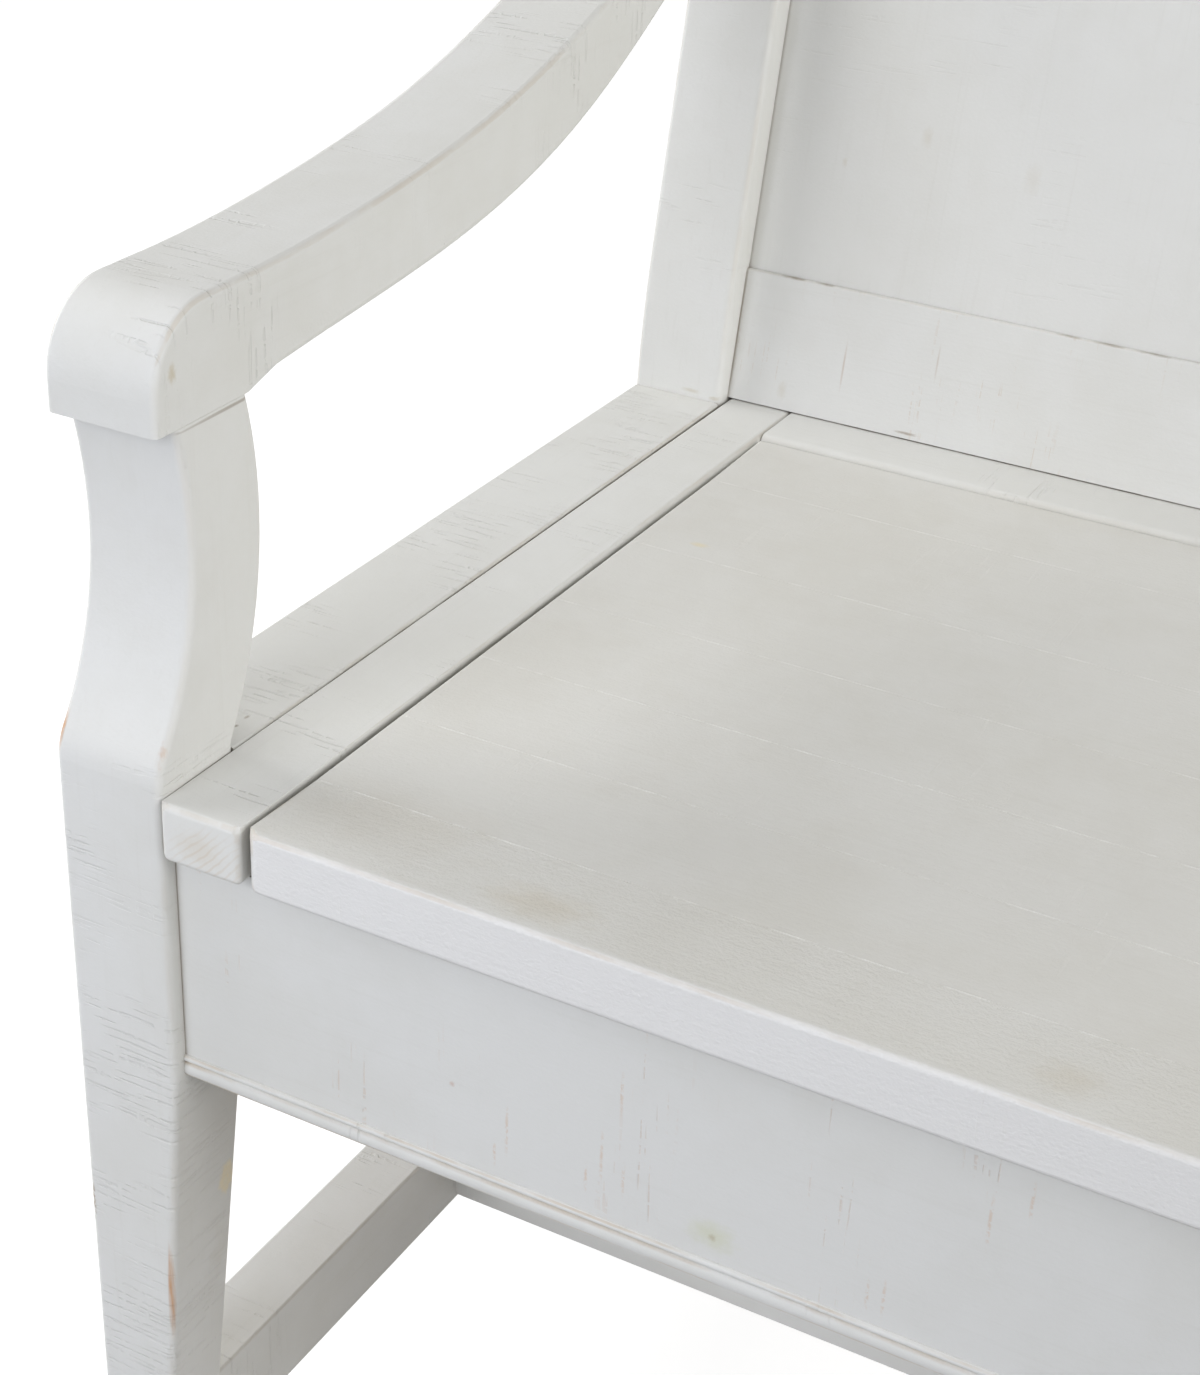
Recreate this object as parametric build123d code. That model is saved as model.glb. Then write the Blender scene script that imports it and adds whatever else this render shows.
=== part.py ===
from build123d import *
import math
import os

os.makedirs("parts", exist_ok=True)

# Overall sizes in millimetres. Y runs back from the lid's front edge, Z up from the floor.
WIDTH = 1370.0
SEAT_HEIGHT = 470.0
SEAT_DEPTH = 466.0
BACK_HEIGHT = 520.0
BACK_RAKE = 12.2
EASE = 3.5
SMALL_EASE = 1.5
CRACK = 0.6
JOINT_EASE = 0.8

# Front legs, each carrying its arm post in one piece
LEG_WIDTH = 48.0
LEG_DEPTH = 46.0
LEG_SETBACK = 1.2
LEG_TAPER_WIDTH = 22.0
LEG_TAPER_DEPTH = 19.0
POST_HEIGHT = 139.0
POST_CURVE_START = 10.6
POST_CURVE_EASE = 22.0
POST_REAR_START = 2.5
POST_REAR_EASE = 8.0
WAIST_HEIGHT = 91.0
WAIST_FRONT = 25.8
WAIST_REAR = 23.0
POST_TOP_FRONT = 19.3
POST_TOP_REAR = 16.4

# Rear posts, bent back above the seat
POST_DEPTH = 45.5
POST_PROUD = 10.5
BEND_BELOW_SEAT = 30.0
BEND_LENGTH = 95.0

# Arms, heights above the seat; a station is a share of the arm's reach and the height there
ARM_NOSE_Y = 10.4
ARM_NOSE_RADIUS = 31.0
ARM_FRONT_THICK = 43.5
ARM_FLAT_END = 62.0
ARM_TOP_STATIONS = ((0.215, 189.0), (0.372, 200.8), (0.474, 213.8))
ARM_STEP_RUN = 8.5
ARM_STEP_RISE = 2.4
ARM_UNDER_STATIONS = ((0.214, 149.8), (0.372, 160.2), (0.510, 179.0), (0.602, 198.9))
ARM_END_TOP = 384.0
ARM_END_UNDER = 322.5
ARM_END_PITCH = 48.0
ARM_EASE = 3.0

# Box under the seat
LID_THICK = 25.0
APRON_HEIGHT = 93.5
APRON_THICK = 22.0
APRON_SETBACK = 8.4
SIDE_APRON_INSET = 7.2
REAR_APRON_GAP = 2.0
BEAD_HEIGHT = 10.0
BEAD_PROUD = 1.5
BEAD_GROOVE = 3.0
NOSING_EASE = 2.6
CLEAT_WIDTH = 34.0
CLEAT_DEPTH = 18.0
CLEAT_HEIGHT = 16.0
FLOOR_THICK = 9.0
FLOOR_CLEARANCE = 1.0

# Seat: fixed strips round a lid glued up from boards
STRIP_WIDTH = 35.7
LID_GAP = 2.3
REAR_STRIP_WIDTH = 35.0
REAR_STRIP_EASE = 4.5
FRONT_BOARD_WIDTHS = (45.0, 58.0, 58.0)
REAR_BOARD_WIDTHS = (68.0, 80.0, 57.0)
BATTEN_WIDTH = 60.0
BATTEN_THICK = 18.0
BATTEN_MARGIN = 48.0
BATTEN_INSET = 199.0
BATTEN_SCREW_INSET = 22.0
BATTEN_SCREW_COUNT = 4
BATTEN_SCREW_BITE = 15.0

# Butt hinges standing in the gap behind the lid
HINGE_GAP = 3.0
HINGE_INSET = 264.0
HINGE_LENGTH = 64.0
HINGE_LEAF_THICK = 1.2
HINGE_LEAF_DROP = 23.0
HINGE_AXIS_RISE = 1.6
KNUCKLE_RADIUS = 3.0
KNUCKLE_COUNT = 5
KNUCKLE_GAP = 0.5
PIN_RADIUS = 1.4
PIN_FIT = 0.05
PIN_OVERHANG = 1.0
HINGE_SCREW_PITCH = 20.0
HINGE_SCREW_DROP = 13.0
HINGE_SCREW_LENGTH = 16.0

# Wood screws
SCREW_RADIUS = 1.6
SCREW_HEAD_RADIUS = 3.1
SCREW_HEAD_LENGTH = 1.6

# Back frame, lying in the raked plane
RAIL_HEIGHT = 66.5
RAIL_THICK = 22.0
RAIL_GAP = 0.6
CREST_HEIGHT = 92.0
CREST_DROP = 8.0
MUNTIN_WIDTH = 60.0
PANEL_RECESS = 2.5
PANEL_THICK = 10.0
PANEL_TONGUE = 7.0
GROOVE_FIT = 0.2

# Stretchers
STRETCHER_INSET = 1.0
STRETCHER_WIDTH = 32.0
STRETCHER_HEIGHT = 44.0
STRETCHER_CLEAR = 110.0
LONG_STRETCHER_RISE = 2.0
LONG_STRETCHER_HEIGHT = 38.0

# Joinery
TENON_LENGTH = 20.0
TENON_THICK = 10.0
TENON_SHOULDER = 12.0
TENON_FIT = 0.15
ARM_TENON_HEIGHT = 18.0
ARM_TENON_ROOT = 5.0
DOWEL_RADIUS = 4.0
DOWEL_LENGTH = 44.0
DOWEL_PITCH = 20.0
GLIDE_RADIUS = 9.0
GLIDE_HEIGHT = 4.0
NAIL_RADIUS = 1.5
NAIL_LENGTH = 14.0
PEG_FIT = 0.05

# Positions that follow from the sizes
INNER_X = WIDTH / 2 - LEG_WIDTH
LEG_REAR = LEG_SETBACK + LEG_DEPTH
POST_FRONT = SEAT_DEPTH - POST_PROUD
POST_REAR = POST_FRONT + POST_DEPTH
LID_BOTTOM = SEAT_HEIGHT - LID_THICK
APRON_BOTTOM = LID_BOTTOM - APRON_HEIGHT
BOX_BOTTOM = APRON_BOTTOM - BEAD_HEIGHT
APRON_REAR = APRON_SETBACK + APRON_THICK
REAR_APRON_FRONT = SEAT_DEPTH + REAR_APRON_GAP
REAR_APRON_REAR = REAR_APRON_FRONT + APRON_THICK
SIDE_APRON_OUT = WIDTH / 2 - SIDE_APRON_INSET
SIDE_APRON_IN = SIDE_APRON_OUT - APRON_THICK
CLEAT_IN = SIDE_APRON_IN - CLEAT_WIDTH
LID_DEPTH = SEAT_DEPTH - REAR_STRIP_WIDTH - HINGE_GAP
MIDDLE_BOARD_WIDTH = LID_DEPTH - sum(FRONT_BOARD_WIDTHS) - sum(REAR_BOARD_WIDTHS)
LID_HALF = INNER_X - STRIP_WIDTH - LID_GAP
HINGE_Y = LID_DEPTH + HINGE_GAP / 2
HINGE_Z = SEAT_HEIGHT + HINGE_AXIS_RISE
ARM_JOINT_Z = SEAT_HEIGHT + POST_HEIGHT
BACK_TOP = SEAT_HEIGHT + BACK_HEIGHT
RAKE = math.radians(BACK_RAKE)
BEND_Z = SEAT_HEIGHT - BEND_BELOW_SEAT
BEND_END_Z = BEND_Z + BEND_LENGTH
BEND_SHIFT = BEND_LENGTH * math.tan(RAKE / 2)
TOP_SHIFT = BEND_SHIFT + (BACK_TOP - BEND_END_Z) * math.tan(RAKE)
DEPTH = POST_REAR + TOP_SHIFT
CREST_TOP = (BACK_HEIGHT - CREST_DROP) / math.cos(RAKE)
CREST_BOTTOM = CREST_TOP - CREST_HEIGHT
BACK = Pos(0, SEAT_DEPTH, SEAT_HEIGHT) * Rot(-BACK_RAKE, 0, 0)
LEFT_LEG_X = (-WIDTH / 2, -INNER_X)
WIDE_X = (-WIDTH / 2 - LEG_WIDTH, -INNER_X + LEG_WIDTH)
parts = {}


def block(x, y, z):
    """Box between three (low, high) pairs."""
    size = [high - low for low, high in (x, y, z)]
    middle = [(low + high) / 2 for low, high in (x, y, z)]
    return Pos(*middle) * Box(*size)


def grown(x, y, z, fit):
    """Box between three (low, high) pairs, larger by a clearance on every side."""
    return block(*[(low - fit, high + fit) for low, high in (x, y, z)])


def side_plate(outline, x):
    """Solid between two X planes from a closed outline drawn as (Y, Z)."""
    face = Plane.YZ * make_face(outline)
    return Pos(x[0], 0, 0) * extrude(face, x[1] - x[0], dir=(1, 0, 0))


def long_edges(solid, axis):
    """Edges of a block that run along one axis."""
    return solid.edges().filter_by(axis)


def mirrored(solid):
    """The same piece on the other side of the bench."""
    return mirror(solid, about=Plane.YZ)


def both_sides(name, solid):
    """Keep a left-hand piece and its right-hand twin."""
    parts["left_" + name] = solid
    parts["right_" + name] = mirrored(solid)


def screw(length):
    """Countersunk screw along +Z with the top of its head at the origin."""
    shank = Pos(0, 0, length / 2) * Cylinder(SCREW_RADIUS, length)
    head = Pos(0, 0, SCREW_HEAD_LENGTH / 2) * Cone(SCREW_HEAD_RADIUS, SCREW_RADIUS, SCREW_HEAD_LENGTH)
    return shank + head


def front_leg_outline():
    """Side view of the front leg above its taper, with the arm post."""
    low_front = (LEG_SETBACK, BOX_BOTTOM)
    curve_start = (LEG_SETBACK, SEAT_HEIGHT + POST_CURVE_START)
    waist_front = (LEG_SETBACK + WAIST_FRONT, SEAT_HEIGHT + WAIST_HEIGHT)
    top_front = (LEG_SETBACK + POST_TOP_FRONT, ARM_JOINT_Z)
    top_rear = (LEG_REAR + POST_TOP_REAR, ARM_JOINT_Z)
    waist_rear = (LEG_REAR + WAIST_REAR, SEAT_HEIGHT + WAIST_HEIGHT)
    rear_start = (LEG_REAR, SEAT_HEIGHT + POST_REAR_START)
    low_rear = (LEG_REAR, BOX_BOTTOM)
    return [
        Line(low_front, curve_start),
        TangentArc(waist_front, curve_start, tangent=(0, -1)),
        TangentArc(waist_front, top_front, tangent=(0, 1)),
        Line(top_front, top_rear),
        TangentArc(waist_rear, top_rear, tangent=(0, 1)),
        TangentArc(waist_rear, rear_start, tangent=(0, -1)),
        Line(rear_start, low_rear),
        Line(low_rear, low_front),
    ]


def rear_post_outline():
    """Side view of the rear leg above its taper, with the back post."""
    low_front = (POST_FRONT, BOX_BOTTOM)
    bend_front = (POST_FRONT, BEND_Z)
    rake_front = (POST_FRONT + BEND_SHIFT, BEND_END_Z)
    top_front = (POST_FRONT + TOP_SHIFT, BACK_TOP)
    top_rear = (DEPTH, BACK_TOP)
    rake_rear = (POST_REAR + BEND_SHIFT, BEND_END_Z)
    bend_rear = (POST_REAR, BEND_Z)
    low_rear = (POST_REAR, BOX_BOTTOM)
    return [
        Line(low_front, bend_front),
        TangentArc(bend_front, rake_front, tangent=(0, 1)),
        Line(rake_front, top_front),
        Line(top_front, top_rear),
        Line(top_rear, rake_rear),
        TangentArc(bend_rear, rake_rear, tangent=(0, 1)),
        Line(bend_rear, low_rear),
        Line(low_rear, low_front),
    ]


def post_front_y(height):
    """Y of the back post's raked front face at a height above the seat."""
    return POST_FRONT + BEND_SHIFT + (SEAT_HEIGHT + height - BEND_END_Z) * math.tan(RAKE)


def arm_station(share, height):
    """Point of the arm's side view at a share of its reach and a height above the seat."""
    reach = post_front_y(ARM_END_TOP) - ARM_FLAT_END
    return ARM_FLAT_END + share * reach, SEAT_HEIGHT + height


def arm_outline():
    """Side view of the arm, run a little into the back post."""
    joint_end = LEG_REAR + POST_TOP_REAR
    top_z = ARM_JOINT_Z + ARM_FRONT_THICK
    pitch = math.radians(ARM_END_PITCH)
    end_way = (math.cos(pitch), math.sin(pitch))
    nose_low = (ARM_NOSE_Y, ARM_JOINT_Z)
    nose_side = (ARM_NOSE_Y, top_z - ARM_NOSE_RADIUS)
    nose_top = (ARM_NOSE_Y + ARM_NOSE_RADIUS, top_z)
    flat_end = (ARM_FLAT_END, top_z)
    top_end = (post_front_y(ARM_END_TOP) + POST_DEPTH / 2, SEAT_HEIGHT + ARM_END_TOP)
    under_end = (post_front_y(ARM_END_UNDER) + POST_DEPTH / 2, SEAT_HEIGHT + ARM_END_UNDER)
    step = (joint_end + ARM_STEP_RUN, ARM_JOINT_Z + ARM_STEP_RISE)
    top_line = [flat_end] + [arm_station(*pair) for pair in ARM_TOP_STATIONS] + [top_end]
    under_line = [step] + [arm_station(*pair) for pair in ARM_UNDER_STATIONS] + [under_end]
    return [
        Line(nose_low, nose_side),
        TangentArc(nose_side, nose_top, tangent=(0, 1)),
        Line(nose_top, flat_end),
        Spline(*top_line, tangents=((1, 0), end_way)),
        Line(top_end, under_end),
        Spline(*under_line),
        Line(step, (joint_end, ARM_JOINT_Z)),
        Line((joint_end, ARM_JOINT_Z), nose_low),
    ]


def rounded_section(x, y, z):
    """Horizontal section of a leg with its corners eased."""
    middle = Pos((x[0] + x[1]) / 2, (y[0] + y[1]) / 2, z)
    return middle * RectangleRounded(x[1] - x[0], y[1] - y[0], EASE)


def tapered_foot(top_y, foot_y):
    """Lower end of a left leg, narrowing on its inner faces down to the floor glide."""
    foot_x = (LEFT_LEG_X[0], LEFT_LEG_X[1] - LEG_TAPER_WIDTH)
    top = rounded_section(LEFT_LEG_X, top_y, BOX_BOTTOM)
    foot = rounded_section(foot_x, foot_y, GLIDE_HEIGHT)
    return loft([foot, top])


def foot_cutter(top_y, foot_y):
    """The tapered foot's side view as a wide prism, to cut stretcher ends to."""
    top = [(y, BOX_BOTTOM) for y in top_y]
    foot = [(y, GLIDE_HEIGHT) for y in reversed(foot_y)]
    return side_plate(Polyline(*top, *foot, close=True), WIDE_X)


def nearest_cross_edge(solid, y, z):
    """The edge along X that passes closest to a point of the side view."""
    return solid.edges().filter_by(Axis.X).sort_by_distance((-WIDTH / 2, y, z))[0]


def side_edges(solid, keep):
    """Edges lying in a left piece's two side faces that pass a test."""
    found = []
    for x in LEFT_LEG_X:
        found += [edge for edge in solid.edges().filter_by_position(Axis.X, x, x) if keep(edge)]
    return found


def upright(edge):
    """True for an edge that climbs more than it could along a flat end."""
    return edge.bounding_box().size.Z > SMALL_EASE


def swept(edge):
    """True for an edge of the arm's long curves."""
    return edge.geom_type == GeomType.BSPLINE


def tenon(rail, receiver, x, y, z):
    """Give a rail a tenon and cut its mortise in the piece that takes it."""
    return rail + block(x, y, z), receiver - grown(x, y, z, TENON_FIT)


def middle_span(low, high, size):
    """A (low, high) pair of a given size centred between two limits."""
    centre = (low + high) / 2
    return centre - size / 2, centre + size / 2


# Legs and posts
front_leg = side_plate(front_leg_outline(), LEFT_LEG_X)
front_bend = nearest_cross_edge(front_leg, LEG_SETBACK, SEAT_HEIGHT + POST_CURVE_START)
front_leg = fillet(front_bend, POST_CURVE_EASE)
rear_bend = nearest_cross_edge(front_leg, LEG_REAR, SEAT_HEIGHT + POST_REAR_START)
front_leg = fillet(rear_bend, POST_REAR_EASE)
front_leg = fillet(side_edges(front_leg, upright), EASE)
front_leg = fillet(front_leg.faces().sort_by(Axis.Z)[-1].edges(), JOINT_EASE)
front_foot_y = (LEG_SETBACK, LEG_REAR - LEG_TAPER_DEPTH)
front_leg += tapered_foot((LEG_SETBACK, LEG_REAR), front_foot_y)
rear_post = side_plate(rear_post_outline(), LEFT_LEG_X)
rear_post = fillet(side_edges(rear_post, upright), EASE)
rear_foot_y = (POST_FRONT + LEG_TAPER_DEPTH, POST_REAR)
rear_post += tapered_foot((POST_FRONT, POST_REAR), rear_foot_y)
rear_post = fillet(rear_post.faces().sort_by(Axis.Z)[-1].edges(), SMALL_EASE)

# Arms, coped onto the back posts and doweled to the front posts
post_cutter = side_plate(rear_post_outline(), WIDE_X)
arm = side_plate(arm_outline(), LEFT_LEG_X)
arm = fillet(side_edges(arm, swept), ARM_EASE) - post_cutter
arm_drop = POST_DEPTH / 2 / (1 / math.tan(math.radians(ARM_END_PITCH)) - math.tan(RAKE))
arm_mid = (ARM_END_TOP + ARM_END_UNDER) / 2 - arm_drop
arm_root = post_front_y(arm_mid)
arm, rear_post = tenon(
    arm,
    rear_post,
    middle_span(*LEFT_LEG_X, TENON_THICK),
    (arm_root - ARM_TENON_ROOT, arm_root + TENON_LENGTH),
    (SEAT_HEIGHT + arm_mid - ARM_TENON_HEIGHT / 2, SEAT_HEIGHT + arm_mid + ARM_TENON_HEIGHT / 2),
)
dowel_y = (LEG_SETBACK + POST_TOP_FRONT + LEG_REAR + POST_TOP_REAR) / 2
dowels = []
for shift in (-DOWEL_PITCH / 2, DOWEL_PITCH / 2):
    spot = Pos(-WIDTH / 2 + LEG_WIDTH / 2, dowel_y + shift, ARM_JOINT_Z)
    dowels.append(spot * Cylinder(DOWEL_RADIUS, DOWEL_LENGTH))
    hole = spot * Cylinder(DOWEL_RADIUS + PEG_FIT, DOWEL_LENGTH + CRACK)
    arm -= hole
    front_leg -= hole
parts["arm_dowels"] = Compound(dowels + [mirrored(dowel) for dowel in dowels])

# Floor glides nailed into the feet
glides = []
foot_x = -WIDTH / 2 + (LEG_WIDTH - LEG_TAPER_WIDTH) / 2
for foot_y in (front_foot_y, rear_foot_y):
    spot = Pos(foot_x, (foot_y[0] + foot_y[1]) / 2, 0)
    disc = Pos(0, 0, GLIDE_HEIGHT / 2) * Cylinder(GLIDE_RADIUS, GLIDE_HEIGHT)
    disc = fillet(disc.edges().sort_by(Axis.Z)[0], SMALL_EASE)
    nail_spot = Pos(0, 0, GLIDE_HEIGHT + NAIL_LENGTH / 2)
    glides.append(spot * (disc + nail_spot * Cylinder(NAIL_RADIUS, NAIL_LENGTH)))
    hole = spot * nail_spot * Cylinder(NAIL_RADIUS + PEG_FIT, NAIL_LENGTH + CRACK)
    front_leg -= hole
    rear_post -= hole
parts["floor_glides"] = Compound(glides + [mirrored(glide) for glide in glides])

# Stretchers: one each side between the legs and a long one joining them
stretcher_x = (-WIDTH / 2 + STRETCHER_INSET, -WIDTH / 2 + STRETCHER_INSET + STRETCHER_WIDTH)
stretcher_z = (STRETCHER_CLEAR, STRETCHER_CLEAR + STRETCHER_HEIGHT)
side_stretcher = block(stretcher_x, (LEG_SETBACK, POST_REAR), stretcher_z)
side_stretcher = fillet(long_edges(side_stretcher, Axis.Y), SMALL_EASE)
side_stretcher -= foot_cutter((LEG_SETBACK, LEG_REAR), front_foot_y)
side_stretcher -= foot_cutter((POST_FRONT, POST_REAR), rear_foot_y)
tenon_x = middle_span(*stretcher_x, TENON_THICK)
tenon_z = (stretcher_z[0] + TENON_SHOULDER, stretcher_z[1] - TENON_SHOULDER)
ends = side_stretcher.bounding_box()
side_stretcher, front_leg = tenon(
    side_stretcher, front_leg, tenon_x, (ends.min.Y - TENON_THICK, ends.min.Y + TENON_LENGTH), tenon_z)
side_stretcher, rear_post = tenon(
    side_stretcher, rear_post, tenon_x, (ends.max.Y - TENON_LENGTH, ends.max.Y + TENON_THICK), tenon_z)
long_x = -stretcher_x[1]
long_y = middle_span(LEG_SETBACK, POST_REAR, STRETCHER_WIDTH)
long_bottom = STRETCHER_CLEAR + LONG_STRETCHER_RISE
long_z = (long_bottom, long_bottom + LONG_STRETCHER_HEIGHT)
long_stretcher = block((-long_x, long_x), long_y, long_z)
long_stretcher = fillet(long_edges(long_stretcher, Axis.X), SMALL_EASE)
tenon_y = middle_span(*long_y, TENON_THICK)
tenon_z = (long_z[0] + TENON_SHOULDER, long_z[1] - TENON_SHOULDER)
tenon_x = (-long_x - TENON_LENGTH, -long_x)
long_stretcher, side_stretcher = tenon(long_stretcher, side_stretcher, tenon_x, tenon_y, tenon_z)
parts["long_stretcher"] = long_stretcher + block((long_x, long_x + TENON_LENGTH), tenon_y, tenon_z)
both_sides("side_stretcher", side_stretcher)

# Box: four aprons, the bead under the front one, cleats and the storage floor
apron_z = (APRON_BOTTOM, LID_BOTTOM)
box_z = (BOX_BOTTOM, LID_BOTTOM)
across = (-INNER_X, INNER_X)


def cross_rail(y, z, tenon_y, receiver):
    """Apron between the left and right legs, tenoned into both."""
    tenon_z = (z[0] + TENON_SHOULDER, z[1] - TENON_SHOULDER)
    left = (-INNER_X - TENON_LENGTH, -INNER_X)
    right = (INNER_X, INNER_X + TENON_LENGTH)
    rail, receiver = tenon(block(across, y, z), receiver, left, tenon_y, tenon_z)
    return rail + block(right, tenon_y, tenon_z), receiver


front_y = (APRON_SETBACK, APRON_REAR)
rear_y = (REAR_APRON_FRONT, REAR_APRON_REAR)
parts["front_apron"], front_leg = cross_rail(front_y, apron_z, middle_span(*front_y, TENON_THICK), front_leg)
parts["rear_apron"], rear_post = cross_rail(rear_y, box_z, middle_span(*rear_y, TENON_THICK), rear_post)

bead_face = APRON_SETBACK - BEAD_PROUD
groove_z = APRON_BOTTOM - BEAD_GROOVE
bead_outline = [
    Line((APRON_SETBACK, APRON_BOTTOM), (APRON_REAR, APRON_BOTTOM)),
    Line((APRON_REAR, APRON_BOTTOM), (APRON_REAR, BOX_BOTTOM)),
    Line((APRON_REAR, BOX_BOTTOM), (APRON_SETBACK, BOX_BOTTOM)),
    ThreePointArc(
        (APRON_SETBACK, BOX_BOTTOM), (bead_face, (BOX_BOTTOM + groove_z) / 2), (APRON_SETBACK, groove_z)),
    ThreePointArc(
        (APRON_SETBACK, groove_z), (bead_face, (groove_z + APRON_BOTTOM) / 2), (APRON_SETBACK, APRON_BOTTOM)),
]
parts["front_apron_bead"] = side_plate(bead_outline, across)

side_x = (-SIDE_APRON_OUT, -SIDE_APRON_IN)
side_apron = block(side_x, (LEG_REAR, POST_REAR), box_z) - post_cutter
tenon_x = middle_span(*side_x, TENON_THICK)
tenon_z = (box_z[0] + TENON_SHOULDER, box_z[1] - TENON_SHOULDER)
front_tenon_y = (LEG_REAR - TENON_LENGTH, LEG_REAR)
rear_tenon_y = (POST_FRONT, POST_FRONT + TENON_LENGTH)
side_apron, front_leg = tenon(side_apron, front_leg, tenon_x, front_tenon_y, tenon_z)
side_apron, rear_post = tenon(side_apron, rear_post, tenon_x, rear_tenon_y, tenon_z)
both_sides("side_apron", side_apron)

cleat_x = (-SIDE_APRON_IN, -CLEAT_IN)
between_legs = (LEG_REAR, POST_FRONT)
floor_z = (BOX_BOTTOM + CLEAT_HEIGHT, BOX_BOTTOM + CLEAT_HEIGHT + FLOOR_THICK)
low_cleat_z = (BOX_BOTTOM, floor_z[0])
both_sides("strip_cleat", block(cleat_x, between_legs, (LID_BOTTOM - CLEAT_HEIGHT, LID_BOTTOM)))
both_sides("floor_cleat", block(cleat_x, between_legs, low_cleat_z))
cleat_span = (-CLEAT_IN + FLOOR_CLEARANCE, CLEAT_IN - FLOOR_CLEARANCE)
parts["front_floor_cleat"] = block(cleat_span, (APRON_REAR, APRON_REAR + CLEAT_DEPTH), low_cleat_z)
parts["rear_floor_cleat"] = block(cleat_span, (REAR_APRON_FRONT - CLEAT_DEPTH, REAR_APRON_FRONT), low_cleat_z)
parts["storage_floor"] = block(
    (-INNER_X + FLOOR_CLEARANCE, INNER_X - FLOOR_CLEARANCE),
    (APRON_REAR + FLOOR_CLEARANCE, REAR_APRON_FRONT - FLOOR_CLEARANCE),
    floor_z,
)

# Fixed strips of the seat, flush with the lid
seat_z = (LID_BOTTOM, SEAT_HEIGHT)


def top_edges(solid, axis):
    """Edges along one axis in a block's upper face."""
    return long_edges(solid, axis).group_by(Axis.Z)[-1]


cap = block((-WIDTH / 2, -INNER_X - CRACK / 2), (LEG_REAR, POST_REAR), seat_z)
cap = fillet(top_edges(cap, Axis.Y), SMALL_EASE) - post_cutter
both_sides("side_cap", cap)
strip_x = (-INNER_X + CRACK / 2, -INNER_X + STRIP_WIDTH)
strip = block(strip_x, (0, REAR_APRON_REAR), seat_z)
strip = fillet(long_edges(strip, Axis.Y) + long_edges(strip, Axis.X).group_by(Axis.Y)[0], SMALL_EASE)
both_sides("seat_strip", strip)
rear_strip_x = (-INNER_X + STRIP_WIDTH + CRACK / 2, INNER_X - STRIP_WIDTH - CRACK / 2)
rear_strip = block(rear_strip_x, (LID_DEPTH + HINGE_GAP, REAR_APRON_REAR), seat_z)
rear_strip = fillet(top_edges(rear_strip, Axis.X).sort_by(Axis.Y)[0], REAR_STRIP_EASE)

# Lid: seven edge-glued boards held flat by battens underneath
boards = []
board_y = 0.0
for width in (*FRONT_BOARD_WIDTHS, MIDDLE_BOARD_WIDTH, *REAR_BOARD_WIDTHS):
    board = block((-LID_HALF, LID_HALF), (board_y, board_y + width), seat_z)
    boards.append(fillet(top_edges(board, Axis.Y), SMALL_EASE))
    board_y += width
nosing = long_edges(boards[0], Axis.X).group_by(Axis.Y)[0]
boards[0] = fillet(nosing, NOSING_EASE)
boards[-1] = fillet(top_edges(boards[-1], Axis.X).sort_by(Axis.Y)[-1], EASE)

batten_y = (BATTEN_MARGIN, LID_DEPTH - BATTEN_MARGIN)
batten_z = (LID_BOTTOM - BATTEN_THICK, LID_BOTTOM)
batten_screw_pitch = (batten_y[1] - batten_y[0] - 2 * BATTEN_SCREW_INSET) / (BATTEN_SCREW_COUNT - 1)
first_screw_y = batten_y[0] + BATTEN_SCREW_INSET
batten_screw_y = [first_screw_y + step * batten_screw_pitch for step in range(BATTEN_SCREW_COUNT)]
batten_screws = []
batten_shift = LID_HALF - BATTEN_INSET
for name, centre in (("left", -batten_shift), ("middle", 0.0), ("right", batten_shift)):
    batten = block((centre - BATTEN_WIDTH / 2, centre + BATTEN_WIDTH / 2), batten_y, batten_z)
    for y in batten_screw_y:
        fastener = Pos(centre, y, batten_z[0]) * screw(BATTEN_THICK + BATTEN_SCREW_BITE)
        batten_screws.append(fastener)
        batten -= fastener
        boards = [board - fastener for board in boards]
    parts[name + "_lid_batten"] = batten
parts["lid_batten_screws"] = Compound(batten_screws)


def hinge_leaf(y, owned, x):
    """Leaf of a butt hinge with the knuckles it owns, before its screw holes."""
    pitch = HINGE_LENGTH / KNUCKLE_COUNT
    plate_top = HINGE_Z - KNUCKLE_RADIUS - KNUCKLE_GAP
    span = (x - HINGE_LENGTH / 2, x + HINGE_LENGTH / 2)
    leaf = block(span, y, (SEAT_HEIGHT - HINGE_LEAF_DROP, plate_top))
    for index in owned:
        knuckle = (span[0] + index * pitch + KNUCKLE_GAP / 2, span[0] + (index + 1) * pitch - KNUCKLE_GAP / 2)
        neck = block(knuckle, y, (plate_top, HINGE_Z))
        barrel = Pos(sum(knuckle) / 2, HINGE_Y, HINGE_Z) * Rot(0, 90, 0) * Cylinder(
            KNUCKLE_RADIUS, knuckle[1] - knuckle[0])
        leaf = leaf + neck + barrel
    bore = Pos(x, HINGE_Y, HINGE_Z) * Rot(0, 90, 0) * Cylinder(PIN_RADIUS + PIN_FIT, HINGE_LENGTH)
    return leaf - bore


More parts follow.
